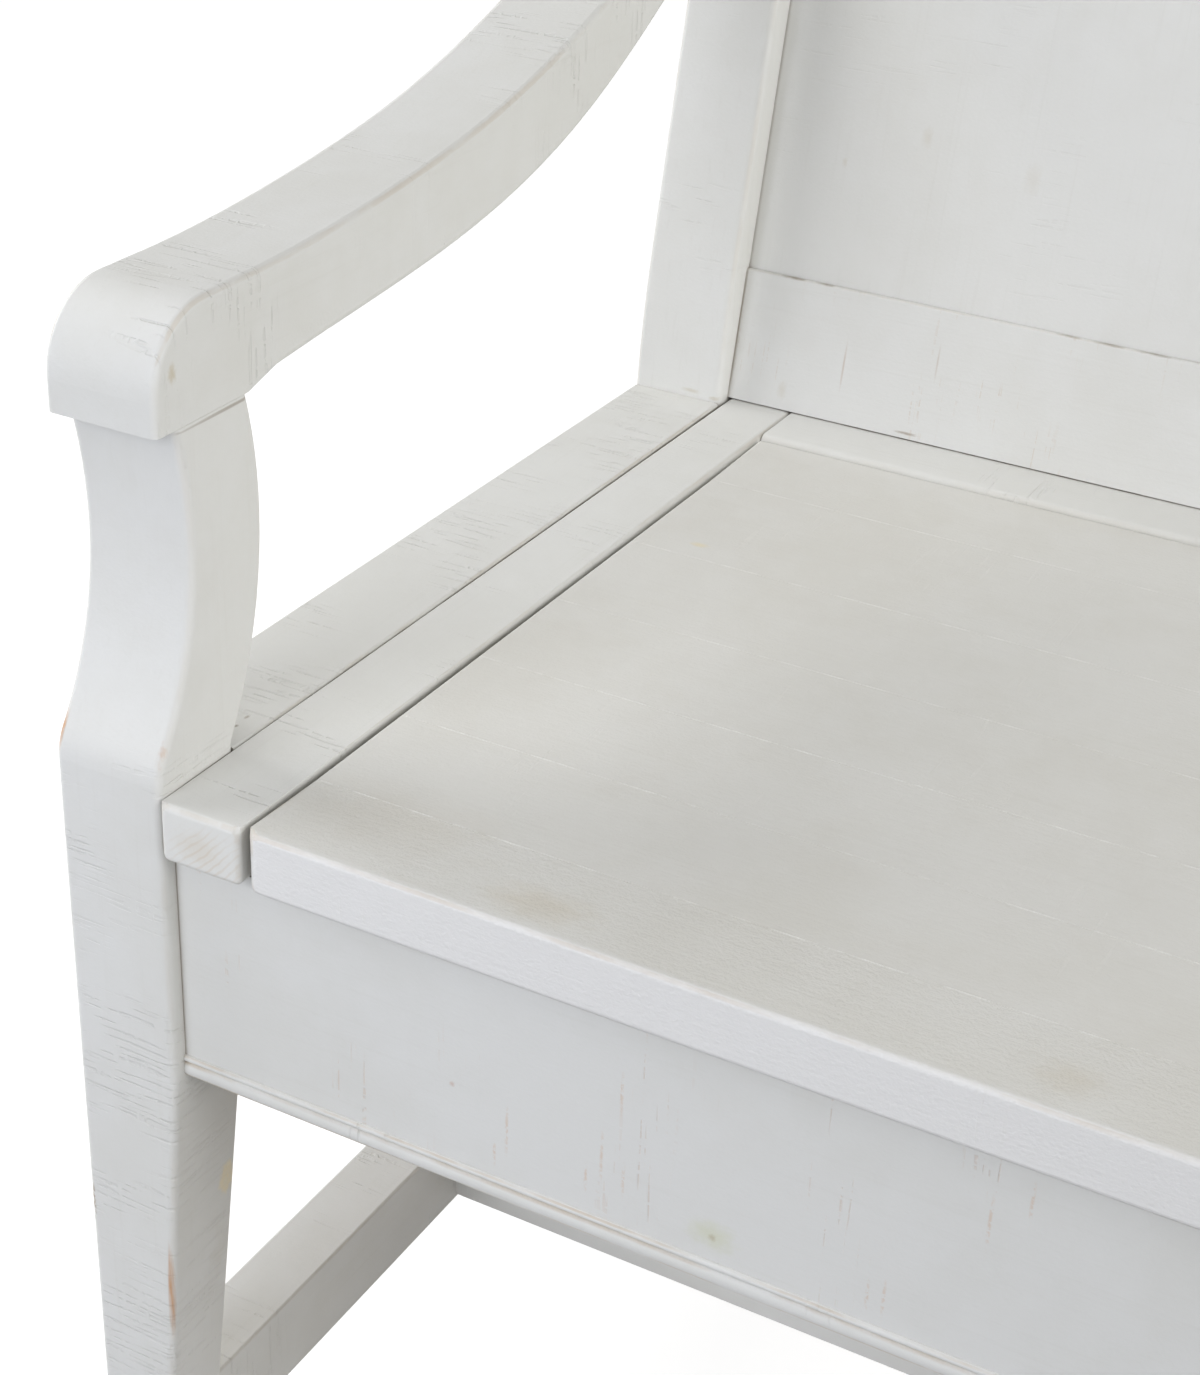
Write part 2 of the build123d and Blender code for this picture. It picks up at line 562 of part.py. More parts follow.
lid_leaf_y = (LID_DEPTH, LID_DEPTH + HINGE_LEAF_THICK)
fixed_leaf_y = (LID_DEPTH + HINGE_GAP - HINGE_LEAF_THICK, LID_DEPTH + HINGE_GAP)
hinge_shift = LID_HALF - HINGE_INSET
lid_screws = []
fixed_screws = []
for name, centre in (("left", -hinge_shift), ("middle", 0.0), ("right", hinge_shift)):
    lid_leaf = hinge_leaf(lid_leaf_y, range(1, KNUCKLE_COUNT, 2), centre)
    fixed_leaf = hinge_leaf(fixed_leaf_y, range(0, KNUCKLE_COUNT, 2), centre)
    for step in (-1, 0, 1):
        spot_x = centre + step * HINGE_SCREW_PITCH
        spot_z = SEAT_HEIGHT - HINGE_SCREW_DROP
        into_lid = Pos(spot_x, lid_leaf_y[1], spot_z) * Rot(90, 0, 0) * screw(HINGE_SCREW_LENGTH)
        into_strip = Pos(spot_x, fixed_leaf_y[0], spot_z) * Rot(-90, 0, 0) * screw(HINGE_SCREW_LENGTH)
        lid_screws.append(into_lid)
        fixed_screws.append(into_strip)
        lid_leaf -= into_lid
        fixed_leaf -= into_strip
        boards[-1] -= into_lid
        rear_strip -= into_strip
    pin_length = HINGE_LENGTH + 2 * PIN_OVERHANG
    pin = Pos(centre, HINGE_Y, HINGE_Z) * Rot(0, 90, 0) * Cylinder(PIN_RADIUS, pin_length)
    parts[name + "_hinge_lid_leaf"] = lid_leaf
    parts[name + "_hinge_fixed_leaf"] = fixed_leaf
    parts[name + "_hinge_pin"] = pin
parts["hinge_lid_screws"] = Compound(lid_screws)
parts["hinge_fixed_screws"] = Compound(fixed_screws)
parts["rear_seat_strip"] = rear_strip
for index, board in enumerate(boards):
    parts[f"lid_board_{index + 1}"] = board

# Back: bottom rail, crest rail, two muntins and three panels in grooves
panel_n = (PANEL_RECESS, PANEL_RECESS + PANEL_THICK)
rail_n = (0.0, RAIL_THICK)
panel_t = (RAIL_HEIGHT - PANEL_TONGUE, CREST_BOTTOM + PANEL_TONGUE)
panel_width = (2 * INNER_X - 2 * MUNTIN_WIDTH) / 3
below_rail = block(across, (0, DEPTH), (0, SEAT_HEIGHT + RAIL_GAP))
groove_x = (-INNER_X - TENON_LENGTH, INNER_X + TENON_LENGTH)


def back_rail(t, tenon_t, receiver):
    """Rail of the back across both posts, with a tenon at each end."""
    tenon_n = middle_span(*rail_n, TENON_THICK)
    rail = block(across, rail_n, t)
    rail = fillet(long_edges(rail, Axis.X).group_by(Axis.Y)[0], SMALL_EASE)
    left = (-INNER_X - TENON_LENGTH, -INNER_X)
    rail += block(left, tenon_n, tenon_t) + block((INNER_X, INNER_X + TENON_LENGTH), tenon_n, tenon_t)
    rail -= grown(groove_x, panel_n, panel_t, GROOVE_FIT)
    return BACK * rail, receiver - BACK * grown(left, tenon_n, tenon_t, TENON_FIT)


rail, rear_post = back_rail(
    (-RAIL_THICK, RAIL_HEIGHT), (TENON_SHOULDER, RAIL_HEIGHT - TENON_SHOULDER), rear_post)
parts["back_bottom_rail"] = rail - below_rail
parts["back_crest_rail"], rear_post = back_rail(
    (CREST_BOTTOM, CREST_TOP), (CREST_BOTTOM + TENON_SHOULDER, CREST_TOP - TENON_SHOULDER), rear_post)
muntin_x = (-panel_width / 2 - MUNTIN_WIDTH, -panel_width / 2)
muntin = block(muntin_x, rail_n, (RAIL_HEIGHT, CREST_BOTTOM)) + block(muntin_x, panel_n, panel_t)
side_panel = (-INNER_X - PANEL_TONGUE, muntin_x[0] + PANEL_TONGUE)
middle_panel = (muntin_x[1] - PANEL_TONGUE, -muntin_x[1] + PANEL_TONGUE)
for span in (side_panel, middle_panel):
    muntin -= grown(span, panel_n, panel_t, GROOVE_FIT)
rear_post -= BACK * grown(side_panel, panel_n, panel_t, GROOVE_FIT)
both_sides("back_muntin", BACK * muntin)
both_sides("back_panel", BACK * block(side_panel, panel_n, panel_t))
parts["middle_back_panel"] = BACK * block(middle_panel, panel_n, panel_t)

both_sides("arm", arm)
parts["front_left_leg"] = front_leg
parts["front_right_leg"] = mirrored(front_leg)
parts["rear_left_post"] = rear_post
parts["rear_right_post"] = mirrored(rear_post)

for name, solid in parts.items():
    export_step(Pos(0, -DEPTH / 2, 0) * solid, f"parts/{name}.step")
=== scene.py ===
import logging
import math
from dataclasses import dataclass, replace
from enum import Enum

import bmesh
import bpy
from mathutils import Euler, Matrix, Vector, noise


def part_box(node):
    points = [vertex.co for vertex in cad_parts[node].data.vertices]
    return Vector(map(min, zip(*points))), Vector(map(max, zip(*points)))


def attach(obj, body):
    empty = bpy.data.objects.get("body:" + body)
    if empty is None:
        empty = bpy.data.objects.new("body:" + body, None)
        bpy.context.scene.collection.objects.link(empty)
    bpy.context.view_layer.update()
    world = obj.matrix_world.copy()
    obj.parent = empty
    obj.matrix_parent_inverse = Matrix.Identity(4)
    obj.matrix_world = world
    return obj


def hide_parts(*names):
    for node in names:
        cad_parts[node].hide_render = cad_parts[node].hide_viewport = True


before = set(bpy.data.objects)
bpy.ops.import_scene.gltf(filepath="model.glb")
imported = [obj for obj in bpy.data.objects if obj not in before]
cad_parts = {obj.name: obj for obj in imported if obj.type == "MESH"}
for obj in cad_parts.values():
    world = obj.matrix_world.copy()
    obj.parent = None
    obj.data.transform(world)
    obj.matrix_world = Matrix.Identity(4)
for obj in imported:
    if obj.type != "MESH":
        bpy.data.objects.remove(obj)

LOG = logging.getLogger("bench")
Triple = tuple[float, float, float]
Socket = bpy.types.NodeSocket

# Linear colours of the marks.
STAIN = (0.50, 0.42, 0.28)
YELLOW = (0.74, 0.60, 0.24)
GOLD = (0.92, 0.72, 0.30)
PALE_GREEN = (0.58, 0.60, 0.38)
JOINT_BROWN = (0.22, 0.17, 0.12)
RUST = (0.62, 0.43, 0.29)
WORN_WOOD = (0.50, 0.25, 0.10)

# Reach of a mark that runs the bench's whole width, metres, and the back's lean from upright.
ALL_ALONG = 3.0
RAKE = math.radians(12.2)


class Grain(Enum):
    """Axis of the bench that a piece's wood grain follows."""

    X = (0, 1, 2)
    Y = (1, 0, 2)
    Z = (2, 0, 1)


class Ease(Enum):
    """How a piece's edges are told from its faces by the surface normal."""

    SQUARE = "square"
    SWEPT = "swept"


class Graph:
    """A material's node tree with short calls for the nodes used here."""

    # Slots of the mix node's colours.
    FIRST_COLOUR = 6
    SECOND_COLOUR = 7
    MIXED_COLOUR = 2
    CREVICE_SAMPLES = 6

    def __init__(self, name: str) -> None:
        """Start an empty material.

        Args:
            name: plain name of the material.
        """
        self.material = bpy.data.materials.new(name)
        self.material.use_nodes = True
        self.nodes = self.material.node_tree.nodes
        self.links = self.material.node_tree.links
        self.nodes.clear()
        self.shader = self.nodes.new("ShaderNodeBsdfPrincipled")
        output = self.nodes.new("ShaderNodeOutputMaterial")
        self.links.new(self.shader.outputs[0], output.inputs["Surface"])
        coordinates = self.nodes.new("ShaderNodeTexCoord")
        self.place = coordinates.outputs["Object"]
        self.normal = coordinates.outputs["Normal"]

    def feed(self, socket: Socket, value: object) -> None:
        """Link a socket into an input, or set the input to a constant.

        Args:
            socket: the input.
            value: an output socket, a number or a tuple.
        """
        if isinstance(value, Socket):
            self.links.new(value, socket)
        else:
            socket.default_value = value

    def math(self, operation: str, first: object, second: object = 0.0, clamp: bool = False) -> Socket:
        """Scalar arithmetic.

        Args:
            operation: Blender's name of the operation.
            first: left value.
            second: right value.
            clamp: keep the result between 0 and 1.

        Returns:
            The result's socket.
        """
        node = self.nodes.new("ShaderNodeMath")
        node.operation = operation
        node.use_clamp = clamp
        self.feed(node.inputs[0], first)
        self.feed(node.inputs[1], second)
        return node.outputs[0]

    def vector(self, operation: str, first: object, second: object = (0.0, 0.0, 0.0)) -> bpy.types.Node:
        """Vector arithmetic.

        Args:
            operation: Blender's name of the operation.
            first: left vector.
            second: right vector.

        Returns:
            The node, whose first output is a vector and second a number.
        """
        node = self.nodes.new("ShaderNodeVectorMath")
        node.operation = operation
        self.feed(node.inputs[0], first)
        self.feed(node.inputs[1], second)
        return node

    def noise(self, place: object, scale: float, detail: float = 3.0, rough: float = 0.6) -> Socket:
        """Smooth 3-D noise about one half.

        Args:
            place: coordinates.
            scale: features per metre.
            detail: octaves.
            rough: weight of the finer octaves.

        Returns:
            The noise value's socket.
        """
        node = self.nodes.new("ShaderNodeTexNoise")
        self.feed(node.inputs["Vector"], place)
        node.inputs["Scale"].default_value = scale
        node.inputs["Detail"].default_value = detail
        node.inputs["Roughness"].default_value = rough
        return node.outputs[0]

    def streaks(self, place: object, stretch: Triple, detail: float = 3.0, rough: float = 0.6) -> Socket:
        """Noise with its own number of features per metre along each axis."""
        return self.noise(self.vector("MULTIPLY", place, stretch).outputs[0], 1.0, detail, rough)

    def times(self, first: object, second: object, clamp: bool = False) -> Socket:
        """Product of two values, kept between 0 and 1 if asked."""
        return self.math("MULTIPLY", first, second, clamp)

    def rest(self, value: object) -> Socket:
        """What a value leaves of 1."""
        return self.math("SUBTRACT", 1.0, value)

    def plus(self, first: object, second: object, gain: float) -> Socket:
        """First value plus the second one times a gain."""
        return self.math("ADD", first, self.times(second, gain))

    def parts(self, vector: object) -> tuple[Socket, ...]:
        """Split a vector into its numbers.

        Args:
            vector: the vector.

        Returns:
            The sockets of X, Y and Z.
        """
        split = self.nodes.new("ShaderNodeSeparateXYZ")
        self.feed(split.inputs[0], vector)
        return tuple(split.outputs)

    def step(self, value: object, low: float, high: float, top: float = 1.0) -> Socket:
        """Smooth step from 0 at low to top at high.

        Args:
            value: the number to look at.
            low: where the step starts.
            high: where the step ends.
            top: value past the step.

        Returns:
            The step's socket.
        """
        node = self.nodes.new("ShaderNodeMapRange")
        node.interpolation_type = "SMOOTHSTEP"
        self.feed(node.inputs["Value"], value)
        node.inputs["From Min"].default_value = low
        node.inputs["From Max"].default_value = high
        node.inputs["To Max"].default_value = top
        return node.outputs[0]

    def mix(self, share: object, first: object, second: object) -> Socket:
        """Blend of two colours.

        Args:
            share: 0 for the first colour, 1 for the second.
            first: colour or socket.
            second: colour or socket.

        Returns:
            The blended colour's socket.
        """
        node = self.nodes.new("ShaderNodeMix")
        node.data_type = "RGBA"
        self.feed(node.inputs[0], share)
        for slot, colour in ((self.FIRST_COLOUR, first), (self.SECOND_COLOUR, second)):
            self.feed(node.inputs[slot], (*colour, 1.0) if isinstance(colour, tuple) else colour)
        return node.outputs[self.MIXED_COLOUR]

    def turned(self, place: object, angle: float) -> Socket:
        """Vector turned about X, to lay the raked back upright.

        Args:
            place: the vector.
            angle: radians.

        Returns:
            The turned vector's socket.
        """
        node = self.nodes.new("ShaderNodeVectorRotate")
        node.rotation_type = "X_AXIS"
        self.feed(node.inputs["Vector"], place)
        node.inputs["Angle"].default_value = angle
        return node.outputs[0]

    def grain(self, place: object, axis: Grain) -> Socket:
        """Coordinates reordered so that the first one follows the grain.

        Args:
            place: coordinates of the bench.
            axis: the grain's axis.

        Returns:
            The reordered vector's socket.
        """
        numbers = self.parts(place)
        join = self.nodes.new("ShaderNodeCombineXYZ")
        for slot_index, axis_index in enumerate(axis.value):
            self.links.new(numbers[axis_index], join.inputs[slot_index])
        return join.outputs[0]

    def edges(self, normal: object, ease: Ease) -> Socket:
        """Mask that is 1 half way round an eased edge and 0 on the faces beside it.

        Args:
            normal: normal in the piece's own axes.
            ease: square block or a profile swept along X.

        Returns:
            The mask's socket.
        """
        x, y, z = self.parts(self.vector("ABSOLUTE", normal).outputs[0])
        if ease is Ease.SWEPT:
            flat = self.math("SQRT", self.math("SUBTRACT", 1.0, self.times(x, x), clamp=True))
            return self.times(self.times(x, flat), 2.0)
        pairs = self.math("ADD", self.times(x, y), self.times(y, z))
        return self.times(self.math("ADD", pairs, self.times(z, x)), 2.0)

    def crevice(self, reach: float) -> Socket:
        """Mask that is 1 deep in a crack or corner and 0 on open faces.

        Args:
            reach: how far the corner is felt, metres.

        Returns:
            The mask's socket.
        """
        node = self.nodes.new("ShaderNodeAmbientOcclusion")
        node.samples = self.CREVICE_SAMPLES
        node.inputs["Distance"].default_value = reach
        return self.rest(node.outputs["AO"])

    def bump(self, height: object, depth: float, under: object = None) -> Socket:
        """Normal disturbed by a height.

        Args:
            height: relief from 0 to 1.
            depth: relief's depth, metres.
            under: normal to start from.

        Returns:
            The normal's socket.
        """
        node = self.nodes.new("ShaderNodeBump")
        node.inputs["Strength"].default_value = 1.0
        node.inputs["Distance"].default_value = depth
        self.feed(node.inputs["Height"], height)
        if under is not None:
            self.feed(node.inputs["Normal"], under)
        return node.outputs[0]

    def surface(self, colour: object, rough: object, normal: object,
                gloss: float = 0.5) -> bpy.types.Material:
        """Wire a finish to the shader.

        Args:
            colour: base colour.
            rough: roughness.
            normal: disturbed normal.
            gloss: strength of mirrored light.

        Returns:
            The finished material.
        """
        inputs = {"Base Color": colour, "Roughness": rough, "Normal": normal, "Specular IOR Level": gloss}
        for name, value in inputs.items():
            self.feed(self.shader.inputs[name], value)
        return self.material


@dataclass(frozen=True)
class Mark:
    """A stain, knot, rubbed spot, patch of painted light or painted shadow at one place on a piece.

    Attributes:
        place: centre, metres in the bench's frame.
        radius: reach along each axis, metres.
        colour: linear colour.
        strength: share of the colour at the centre.
        rings: dark rings of a knot, radians per radius, 0 for a plain stain.
        hatch: slanting end-grain lines, radians per metre, 0 for a plain stain.
        broken: dashes the mark is broken into, features per metre, 0 for a whole one.
    """

    # Noise per radius and its weight in the ragged rim, and where the rim starts and ends.
    RIM_NOISE = 2.4
    RIM_RAGGED = 0.9
    RIM = (0.55, 1.45)
    RING_DEPTH = 0.3
    # Way across the hatch lines, and how finely and how far they bend.
    SLANT = (-0.7, 0.0, 0.7)
    BEND_NOISE = 70.0
    BEND = 9.0
    HATCH_STEP = (0.2, 1.0)
    DASH_STEP = (0.40, 0.58)

    place: Triple
    radius: Triple
    colour: Triple
    strength: float
    rings: float = 0.0
    hatch: float = 0.0
    broken: float = 0.0

    def share(self, graph: Graph) -> Socket:
        """How much of the mark there is at a point.

        Args:
            graph: material being built.

        Returns:
            The share's socket, 1 at the centre and 0 past a ragged rim.
        """
        away = graph.vector("SUBTRACT", graph.place, self.place).outputs[0]
        scaled = graph.vector("DIVIDE", away, self.radius).outputs[0]
        length = graph.vector("LENGTH", scaled).outputs[1]
        ragged = graph.plus(length, graph.noise(scaled, self.RIM_NOISE), self.RIM_RAGGED)
        share = graph.rest(graph.step(ragged, *self.RIM))
        if self.rings:
            wave = graph.math("SINE", graph.times(ragged, self.rings))
            share = graph.times(share, graph.plus(1.0 - self.RING_DEPTH, wave, self.RING_DEPTH))
        if self.hatch:
            across = graph.vector("DOT_PRODUCT", graph.place, self.SLANT).outputs[1]
            bent = graph.times(graph.noise(graph.place, self.BEND_NOISE, 2.0), self.BEND)
            lines = graph.math("SINE", graph.plus(bent, across, self.hatch))
            share = graph.times(share, graph.step(lines, *self.HATCH_STEP))
        if self.broken:
            dashes = graph.noise(graph.place, self.broken, 2.0)
            share = graph.times(share, graph.step(dashes, *self.DASH_STEP))
        return share

    def lay(self, graph: Graph, colour: object, within: object = None) -> Socket:
        """Lay the mark over a colour.

        Args:
            graph: material being built.
            colour: what is under the mark.
            within: mask that the mark keeps to, if any.

        Returns:
            The marked colour's socket.
        """
        share = self.share(graph)
        if within is not None:
            share = graph.times(share, within)
        return graph.mix(graph.times(share, self.strength, clamp=True), colour, self.colour)


@dataclass(frozen=True)
class SawMarks:
    """Scratches that a saw left across the grain under the paint.

    Attributes:
        amount: share of the surface that carries marks, 0 to 1.
        colour: linear colour in the scratches.
        strength: share of that colour.
        broken: how far a scratch is broken into dashes, 0 to 1.
        depth: how deep a scratch is, metres.
        pitch: scratches per metre along the grain.
        reach: how short a scratch is, features per metre across the grain.
        below: scratches are found under this height along the grain, metres.
    """

    amount: float = 0.4
    colour: Triple = (0.52, 0.49, 0.44)
    strength: float = 0.03
    broken: float = 0.3
    depth: float = 0.00030
    pitch: float = 560.0
    reach: float = 30.0
    below: float = 10.0

    # Features per metre of groups of scratches and of the dashes within a scratch.
    GROUPS = (24.0, 13.0, 13.0)
    DASHES = (180.0, 420.0, 420.0)
    # Where each noise starts to show and shows in full, and how far amount or breaking moves that.
    LINE_STEP = (0.62, 0.70)
    LINE_GAIN = 0.07
    GROUP_STEP = (0.54, 0.68)
    GROUP_GAIN = (0.16, 0.12)
    DASH_STEP = (0.30, 0.42)
    DASH_GAIN = 0.16
    # Height over which the scratches fade out, metres.
    FADE = 0.02

    def mask(self, graph: Graph, grain: object) -> Socket:
        """Where the scratches are.

        Args:
            graph: material being built.
            grain: coordinates along and across the grain.

        Returns:
            The mask's socket.
        """
        lines = graph.streaks(grain, (self.pitch, self.reach, self.reach), 1.0, 0.4)
        found = graph.step(lines, *(end - self.LINE_GAIN * self.amount for end in self.LINE_STEP))
        ends = (end - gain * self.amount for end, gain in zip(self.GROUP_STEP, self.GROUP_GAIN))
        here = graph.step(graph.streaks(grain, self.GROUPS, 1.0, 0.5), *ends)
        ends = (end + self.DASH_GAIN * self.broken for end in self.DASH_STEP)
        kept = graph.step(graph.streaks(grain, self.DASHES, 1.0, 0.5), *ends)
        above = graph.step(graph.parts(grain)[0], self.below, self.below + self.FADE)
        found = graph.times(found, graph.rest(above))
        return graph.times(graph.times(found, here), kept)


@dataclass(frozen=True)
class PaintedWood:
    """Hand-rubbed satin white paint over wood.

    Attributes:
        name: material name.
        grain: direction of the wood.
        ease: how edges are found.
        tone: linear colour of the paint.
        shade: linear colour the paint drifts to in patches.
        saw: scratches across the grain.
        tan: how much tan glaze stays along eased edges, 0 to 1.
        skyward: least upward lean of an edge that keeps the glaze, -1 for all edges.
        grime_and_shade: how much brown grime and painted shade darken cracks and corners, 0 to 1.
        peel: depth of the brushed paint's fine relief, metres.
        lean: tilt of the piece about X, radians.
        marks: stains, knots, painted light and painted shadow at set places.
        seams: places along Y of glued joints that show as broken raised lines with a painted highlight,
            metres.
        rubs: spots where an edge is rubbed through to the wood.
    """

    name: str
    grain: Grain
    ease: Ease = Ease.SQUARE
    tone: Triple = (0.705, 0.703, 0.682)
    shade: Triple = (0.672, 0.667, 0.636)
    saw: SawMarks = SawMarks()
    tan: float = 0.3
    skyward: float = -1.0
    grime_and_shade: float = 0.8
    peel: float = 0.00018
    lean: float = 0.0
    marks: tuple[Mark, ...] = ()
    seams: tuple[float, ...] = ()
    rubs: tuple[Mark, ...] = ()

    TAN = (0.47, 0.35, 0.21)
    # Brown of the grime and painted shade in cracks and corners.
    GRIME_AND_SHADE = (0.17, 0.11, 0.055)
    # Light colour of the painted highlight on the raised paint over seams.
    SEAM_HIGHLIGHT = (0.80, 0.79, 0.76)
    FIBRE = (0.54, 0.52, 0.46)
    # Features per metre of each unevenness, along and across the grain where it has a grain.
    DRIFT = 7.0
    MOTTLE = 46.0
    ORANGE_PEEL = 620.0
    CRACK_BREAKS = 38.0
    FIBRES = (11.0, 420.0, 420.0)
    EDGE_BREAKS = (22.0, 90.0, 90.0)
    SEAM_BREAKS = (55.0, 4.0, 4.0)
    # Where each mask starts and is full, and its most where that isn't 1.
    PATCH_STEP = (0.38, 0.66)
    FIBRE_STEP = (0.54, 0.80, 0.10)
    EDGE_STEP = (0.62, 0.98)
    EDGE_BREAK_STEP = (0.36, 0.62)
    RUB_STEP = (0.12, 0.55)
    CRACK_STEP = (0.42, 0.95)
    CRACK_BREAK_STEP = (0.36, 0.60)
    SEAM_STEP = (0.0003, 0.0008)
    SEAM_BREAK_STEP = (0.42, 0.60)
    SEAM_SHARE = 0.5
    DRIFT_SHARE = 0.7
    FIBRE_SHARE = 0.4
    CRACK_LEAST = 0.4
    SKY_STEP = 0.3
    # How far a crack's grime and painted shade reach, metres, and the paint's shine.
    CRACK_REACH = 0.005
    SATIN = 0.40
    SATIN_DRIFT = 0.16
    GLOSS = 0.30

    def material(self) -> bpy.types.Material:
        """Build the paint.

        Returns:
            The material.
        """
        graph = Graph(self.name)
        normal = graph.turned(graph.normal, -self.lean) if self.lean else graph.normal
        upright = graph.turned(graph.place, -self.lean) if self.lean else graph.place
        grain = graph.grain(upright, self.grain)
        mottle = graph.noise(graph.place, self.MOTTLE)
        fibres = graph.streaks(grain, self.FIBRES)
        edge = graph.edges(normal, self.ease)
        glazed = edge
        if self.skyward > -1.0:
            looks_up = graph.step(graph.parts(normal)[2], self.skyward, self.skyward + self.SKY_STEP)
            glazed = graph.times(edge, looks_up)
        cuts = self.saw.mask(graph, grain)

        colour = self.ground(graph, mottle, fibres)
        for mark in self.marks:
            colour = mark.lay(graph, colour)
        colour = graph.mix(graph.times(cuts, self.saw.strength), colour, self.saw.colour)
        colour = self.edge_glaze(graph, grain, glazed, colour)
        raised = cuts
        if self.seams:
            joints = self.seam_lines(graph)
            # Painted highlight along the raised paint over the glued joints; the ridge itself is a bump.
            colour = graph.mix(graph.times(joints, self.SEAM_SHARE), colour, self.SEAM_HIGHLIGHT)
            raised = graph.math("SUBTRACT", cuts, joints)
        for rub in self.rubs:
            colour = rub.lay(graph, colour, graph.step(edge, *self.RUB_STEP))
        # Brown grime and painted shade where cracks and corners are occluded.
        colour = self.crack_grime_and_shade(graph, colour)

        rough = graph.plus(self.SATIN, mottle, self.SATIN_DRIFT)
        orange_peel = graph.noise(graph.place, self.ORANGE_PEEL, 2.0, 0.55)
        relief = graph.plus(graph.times(fibres, self.FIBRE_SHARE), orange_peel, 1.0 - self.FIBRE_SHARE)
        skin = graph.bump(relief, self.peel)
        relieved = graph.bump(graph.rest(raised), self.saw.depth, skin)
        return graph.surface(colour, rough, relieved, self.GLOSS)

    def seam_lines(self, graph: Graph) -> Socket:
        """Broken lines of paint over glued joints.

        Args:
            graph: material being built.

        Returns:
            The mask's socket.
        """
        across = graph.parts(graph.place)[1]
        lines = 0.0
        for spot in self.seams:
            away = graph.math("ABSOLUTE", graph.math("SUBTRACT", across, spot))
            line = graph.rest(graph.step(away, *self.SEAM_STEP))
            lines = graph.math("MAXIMUM", lines, line)
        kept = graph.step(graph.streaks(graph.place, self.SEAM_BREAKS), *self.SEAM_BREAK_STEP)
        return graph.times(lines, kept)

    def ground(self, graph: Graph, mottle: object, fibres: object) -> Socket:
        """The paint itself, with slow drift and a trace of the wood's fibres.

        Args:
            graph: material being built.
            mottle: middling noise.
            fibres: noise drawn out along the grain.

        Returns:
            The colour's socket.
        """
        drift = graph.noise(graph.place, self.DRIFT, 3.0, 0.55)
        patches = graph.plus(graph.times(drift, self.DRIFT_SHARE), mottle, 1.0 - self.DRIFT_SHARE)
        colour = graph.mix(graph.step(patches, *self.PATCH_STEP), self.tone, self.shade)
        return graph.mix(graph.step(fibres, *self.FIBRE_STEP), colour, self.FIBRE)

    def edge_glaze(self, graph: Graph, grain: object, edge: object, colour: object) -> Socket:
        """Tan glaze left in a broken line along eased edges.

        Args:
            graph: material being built.
            grain: coordinates along and across the grain.
            edge: mask of the edges.
            colour: what is under the glaze.

        Returns:
            The colour's socket.
        """
        uneven = graph.streaks(grain, self.EDGE_BREAKS, 4.0)
        line = graph.times(graph.step(edge, *self.EDGE_STEP), graph.step(uneven, *self.EDGE_BREAK_STEP))
        return graph.mix(graph.times(line, self.tan), colour, self.TAN)

    def crack_grime_and_shade(self, graph: Graph, colour: object) -> Socket:
        """Brown grime and painted shade, laid unevenly where cracks and corners are occluded.

        Args:
            graph: material being built.
            colour: what is under the grime and painted shade.

        Returns:
            The colour's socket.
        """
        deep = graph.step(graph.crevice(self.CRACK_REACH), *self.CRACK_STEP)
        uneven = graph.step(graph.noise(graph.place, self.CRACK_BREAKS), *self.CRACK_BREAK_STEP)
        share = graph.times(deep, graph.plus(self.CRACK_LEAST, uneven, 1.0 - self.CRACK_LEAST))
        return graph.mix(graph.times(share, self.grime_and_shade), colour, self.GRIME_AND_SHADE)


@dataclass(frozen=True)
class BareWood:
    """Unpainted wood inside the box.

    Attributes:
        name: material name.
        grain: direction of the wood.
        pale: linear colour of early wood.
        dark: linear colour of late wood.
        rough: mean roughness.
    """

    name: str
    grain: Grain
    pale: Triple = (0.55, 0.39, 0.22)
    dark: Triple = (0.45, 0.30, 0.16)
    rough: float = 0.6

    # Features per metre, radians of ring per unit of warp, shine, and relief in metres.
    WARP = (3.0, 14.0, 14.0)
    FINE = (12.0, 520.0, 520.0)
    CLOUD = 9.0
    RINGS = 60.0
    GLOSS = 0.3
    RELIEF = 0.0002

    def material(self) -> bpy.types.Material:
        """Build the wood.

        Returns:
            The material.
        """
        graph = Graph(self.name)
        grain = graph.grain(graph.place, self.grain)
        warp = graph.streaks(grain, self.WARP, 2.0, 0.5)
        fine = graph.streaks(grain, self.FINE)
        rings = graph.math("SINE", graph.times(warp, self.RINGS))
        share = graph.plus(fine, rings, 0.25)
        colour = graph.mix(graph.step(share, 0.3, 0.8), self.pale, self.dark)
        worn = graph.step(graph.edges(graph.normal, Ease.SQUARE), 0.2, 0.9, 0.4)
        colour = graph.mix(worn, colour, self.pale)
        cloud = graph.step(graph.noise(graph.place, self.CLOUD, rough=0.5), 0.5, 0.75, 0.3)
        colour = graph.mix(cloud, colour, self.dark)
        sheen = graph.plus(self.rough - 0.1, fine, 0.2)
        return graph.surface(colour, sheen, graph.bump(fine, self.RELIEF), self.GLOSS)


